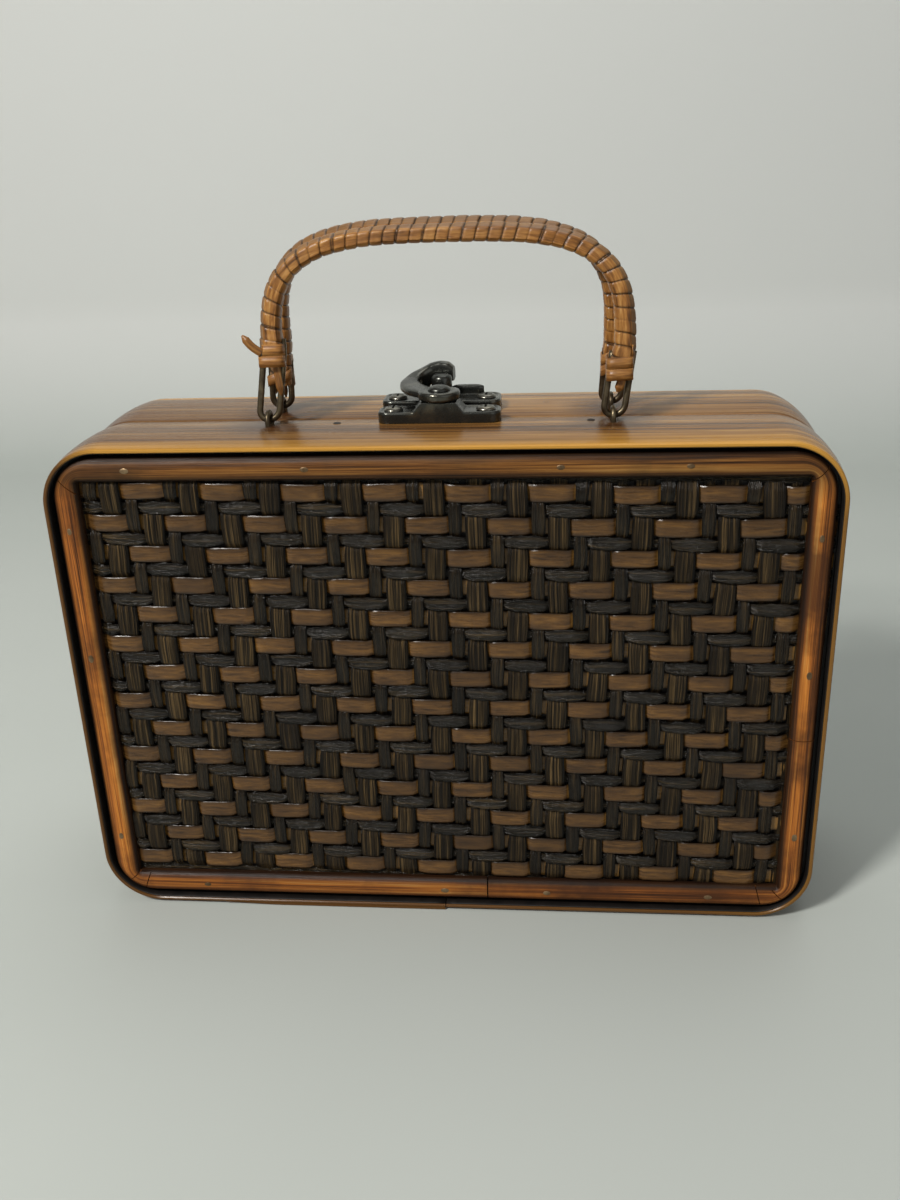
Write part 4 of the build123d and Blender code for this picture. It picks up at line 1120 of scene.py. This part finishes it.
def ear_levels():
    """A raised edge round a slightly sunk top."""
    top = EAR_HEIGHT
    return ((0, -0.25), (0, top - 0.6), (0.25, top - 0.1), (0.7, top), (1.0, top - 0.1), (1.3, top - 0.4),
            (3.0, top - 0.4))


def block_rings():
    """The raised block in the middle of the base plate."""
    front = BASE_MIDDLE - BASE_DEPTH / 2
    outline = [(-BLOCK_FOOT / 2, 0), (BLOCK_FOOT / 2, 0), (BLOCK_FOOT / 2, EAR_HEIGHT), (BLOCK_TOP / 2, BLOCK_HEIGHT),
               (-BLOCK_TOP / 2, BLOCK_HEIGHT), (-BLOCK_FOOT / 2, EAR_HEIGHT)]
    return [[(x, y, HEIGHT + z) for x, z in outline] for y in (front, front + BASE_DEPTH)]


def rib_rings():
    """The round stop bar along the rear edge of the keeper plate."""
    y = KEEPER_MIDDLE + KEEPER_DEPTH / 2 - RIB_RADIUS - 0.4
    rings = []
    for x, size in zip(np.linspace(STUD[0] + RIB_START, STUD[0] + RIB_END, 9), (0.5, 0.9, 1, 1, 1, 1, 1, 0.9, 0.5)):
        angles = ring_angles(16)
        top = RIB_RADIUS * np.sin(angles) * size + RIB_HEIGHT - RIB_RADIUS
        top = np.where(np.sin(angles) < 0, EAR_HEIGHT - 1.0, top)
        rings.append(np.column_stack([np.full(16, x), y + size * RIB_RADIUS * np.cos(angles), HEIGHT + top]))
    return rings


def arm_rings():
    """The arm's rising leg and the hood behind the stud that it ends in."""
    route = curve_through(ARM_ROUTE, 64)
    shares = np.linspace(0, 1, 64)
    high, low, wide = [np.interp(shares, *zip(*stops)) for stops in (ARM_TOP, ARM_FOOT, ARM_HALF_WIDTH)]
    tangents = directions(route)
    angles = ring_angles(20)
    across = np.sign(np.cos(angles)) * np.abs(np.cos(angles)) ** 0.6
    rise = np.sign(np.sin(angles)) * np.abs(np.sin(angles)) ** 0.6
    rings = []
    for (x, y), (along_x, along_y), bottom, top, half in zip(route, tangents, low, high, wide):
        rings.append(np.column_stack([PIVOT[0] + x - along_y * half * across, PIVOT[1] + y + along_x * half * across,
                                      HEIGHT + (bottom + top) / 2 + (top - bottom) / 2 * rise]))
    return rings


def clasp():
    """The swing clasp: cast plates and arm, turned stud and rivet, crosshead screws."""
    base = Skin()
    base.add(plate_rings((0, BASE_MIDDLE), PLATE_LENGTH / 2, BASE_DEPTH / 2, ear_levels()))
    base.add(block_rings())
    cast(base, "clasp_base", "front_half", "clasp_base_plate")
    keeper = Skin()
    keeper.add(plate_rings((STUD[0], KEEPER_MIDDLE), PLATE_LENGTH / 2, KEEPER_DEPTH / 2, ear_levels()))
    keeper.add(rib_rings())
    cast(keeper, "clasp_keeper", "back_half", "clasp_keeper_plate")
    arm = Skin()
    arm.add(lathe(DISC_PROFILE, (*PIVOT, HEIGHT)))
    arm.add(arm_rings())
    cast(arm, "clasp_hook", "clasp_swing_arm", "clasp_arm", 0.18, 10)
    stud = Skin()
    stud.add(lathe(STUD_PROFILE, (*STUD, HEIGHT)))
    piece("clasp_stop_stud", stud.mesh("stud"), CLASP, "back_half", ["clasp_stud"], True, 50)
    rivet = Skin()
    rivet.add(lathe(RIVET_PROFILE, (*PIVOT, HEIGHT)))
    piece("clasp_pivot", rivet.mesh("rivet"), CLASP, "front_half", ["clasp_rivet"], True, 50)
    for group, body, y, shift in (("base", "front_half", BASE_MIDDLE, 0.0),
                                  ("keeper", "back_half", KEEPER_MIDDLE, STUD[0])):
        skin = Skin()
        cuts = []
        for x in (shift - SCREW_SPREAD, shift + SCREW_SPREAD):
            skin.add(lathe(SCREW_PROFILE, (x, y, HEIGHT)))
            for wide, deep in (SCREW_CROSS, SCREW_CROSS[::-1]):
                cuts.append(box_mesh((x - wide, y - deep, HEIGHT + SCREW_CROSS_FLOOR),
                                     (x + wide, y + deep, HEIGHT + 6)))
        mesh = without(skin.mesh("screws"), cuts)
        piece(f"clasp_{group}_crossheads", mesh, SCREW, body, [f"clasp_{group}_screws"], True, 40)


# Plain CAD pieces that stay as they are

def dress_plain():
    """Materials for the CAD pieces that show as they are."""
    looks = {"batten_frame": BATTEN, "handle_core": BATTEN, "hinge": HINGE}
    for name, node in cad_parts.items():
        for key, material in looks.items():
            if key in name:
                node.data.materials.clear()
                node.data.materials.append(material)


# Stage

def stage():
    """Pale floor that runs up into a pale wall, soft lamps and the camera."""
    profile = [(-3.0, 0.0), (WALL - WALL_BEND, 0.0)]
    for angle in np.linspace(0.1, math.pi / 2, 14):
        profile.append((WALL - WALL_BEND + WALL_BEND * math.sin(angle), WALL_BEND - WALL_BEND * math.cos(angle)))
    profile.append((WALL, 3.0))
    verts = [(x, y, z) for x in (-4.0, 4.0) for y, z in profile]
    count = len(profile)
    faces = [(i, i + 1, count + i + 1, count + i) for i in range(count - 1)]
    mesh = bpy.data.meshes.new("sweep")
    mesh.from_pydata(verts, [], faces)
    mesh.polygons.foreach_set("use_smooth", [True] * len(mesh.polygons))
    n = Nodes("pale_sweep")
    fleck = n.noise(n.space(), 3.0, 3.0, 0.5)
    shade = n.ramp(fleck, ((0.3, srgb(174, 180, 175)), (0.7, srgb(181, 186, 181))))
    n.finish(n.mix(shade, srgb(212, 214, 211), n.span(n.place("Z"), 0.005, 0.1, 0.0, 1.0)), 0.75)
    mesh.materials.append(n.material)
    sweep = bpy.data.objects.new("sweep", mesh)
    bpy.context.collection.objects.link(sweep)

    for name, (place, size, power, color) in LAMPS.items():
        data = bpy.data.lights.new(name, "AREA")
        data.shape = "DISK"
        data.size = size
        data.energy = power
        data.color = color
        obj = bpy.data.objects.new(name, data)
        obj.location = place
        obj.rotation_euler = (Vector(LAMP_TARGET) - Vector(place)).to_track_quat("-Z", "Y").to_euler()
        bpy.context.collection.objects.link(obj)
    world = bpy.data.worlds.new("studio")
    world.use_nodes = True
    world.node_tree.nodes["Background"].inputs["Color"].default_value = WORLD_COLOR
    world.node_tree.nodes["Background"].inputs["Strength"].default_value = WORLD_STRENGTH
    bpy.context.scene.world = world

    data = bpy.data.cameras.new("camera")
    data.sensor_width = SENSOR
    data.lens = CAMERA_FOCAL * SENSOR / FRAME_SIZE[1]
    camera = bpy.data.objects.new("camera", data)
    forward = Vector((math.sin(CAMERA_YAW) * math.cos(CAMERA_PITCH), math.cos(CAMERA_YAW) * math.cos(CAMERA_PITCH),
                      math.sin(CAMERA_PITCH)))
    level = Vector((math.cos(CAMERA_YAW), -math.sin(CAMERA_YAW), 0.0))
    upward = level.cross(forward)
    right = math.cos(CAMERA_ROLL) * level + math.sin(CAMERA_ROLL) * upward
    up = -math.sin(CAMERA_ROLL) * level + math.cos(CAMERA_ROLL) * upward
    axes = Matrix((right, up, -forward)).transposed().to_4x4()
    camera.matrix_world = Matrix.Translation(Vector(CAMERA_PLACE)) @ axes
    bpy.context.collection.objects.link(camera)
    bpy.context.scene.camera = camera
    bpy.context.scene.view_settings.view_transform = "Standard"


for side, sign in (("front", -1), ("back", 1)):
    rim(side, sign)
    lining(side, sign)
    woven(side, sign)
    moulding(side, sign)
    brads(side, sign)
    wrapped(side, sign)
    loose_ends(side, sign)
    loops(side, sign)
    staples(side, sign)
lap_strip()
clasp()
dress_plain()
stage()
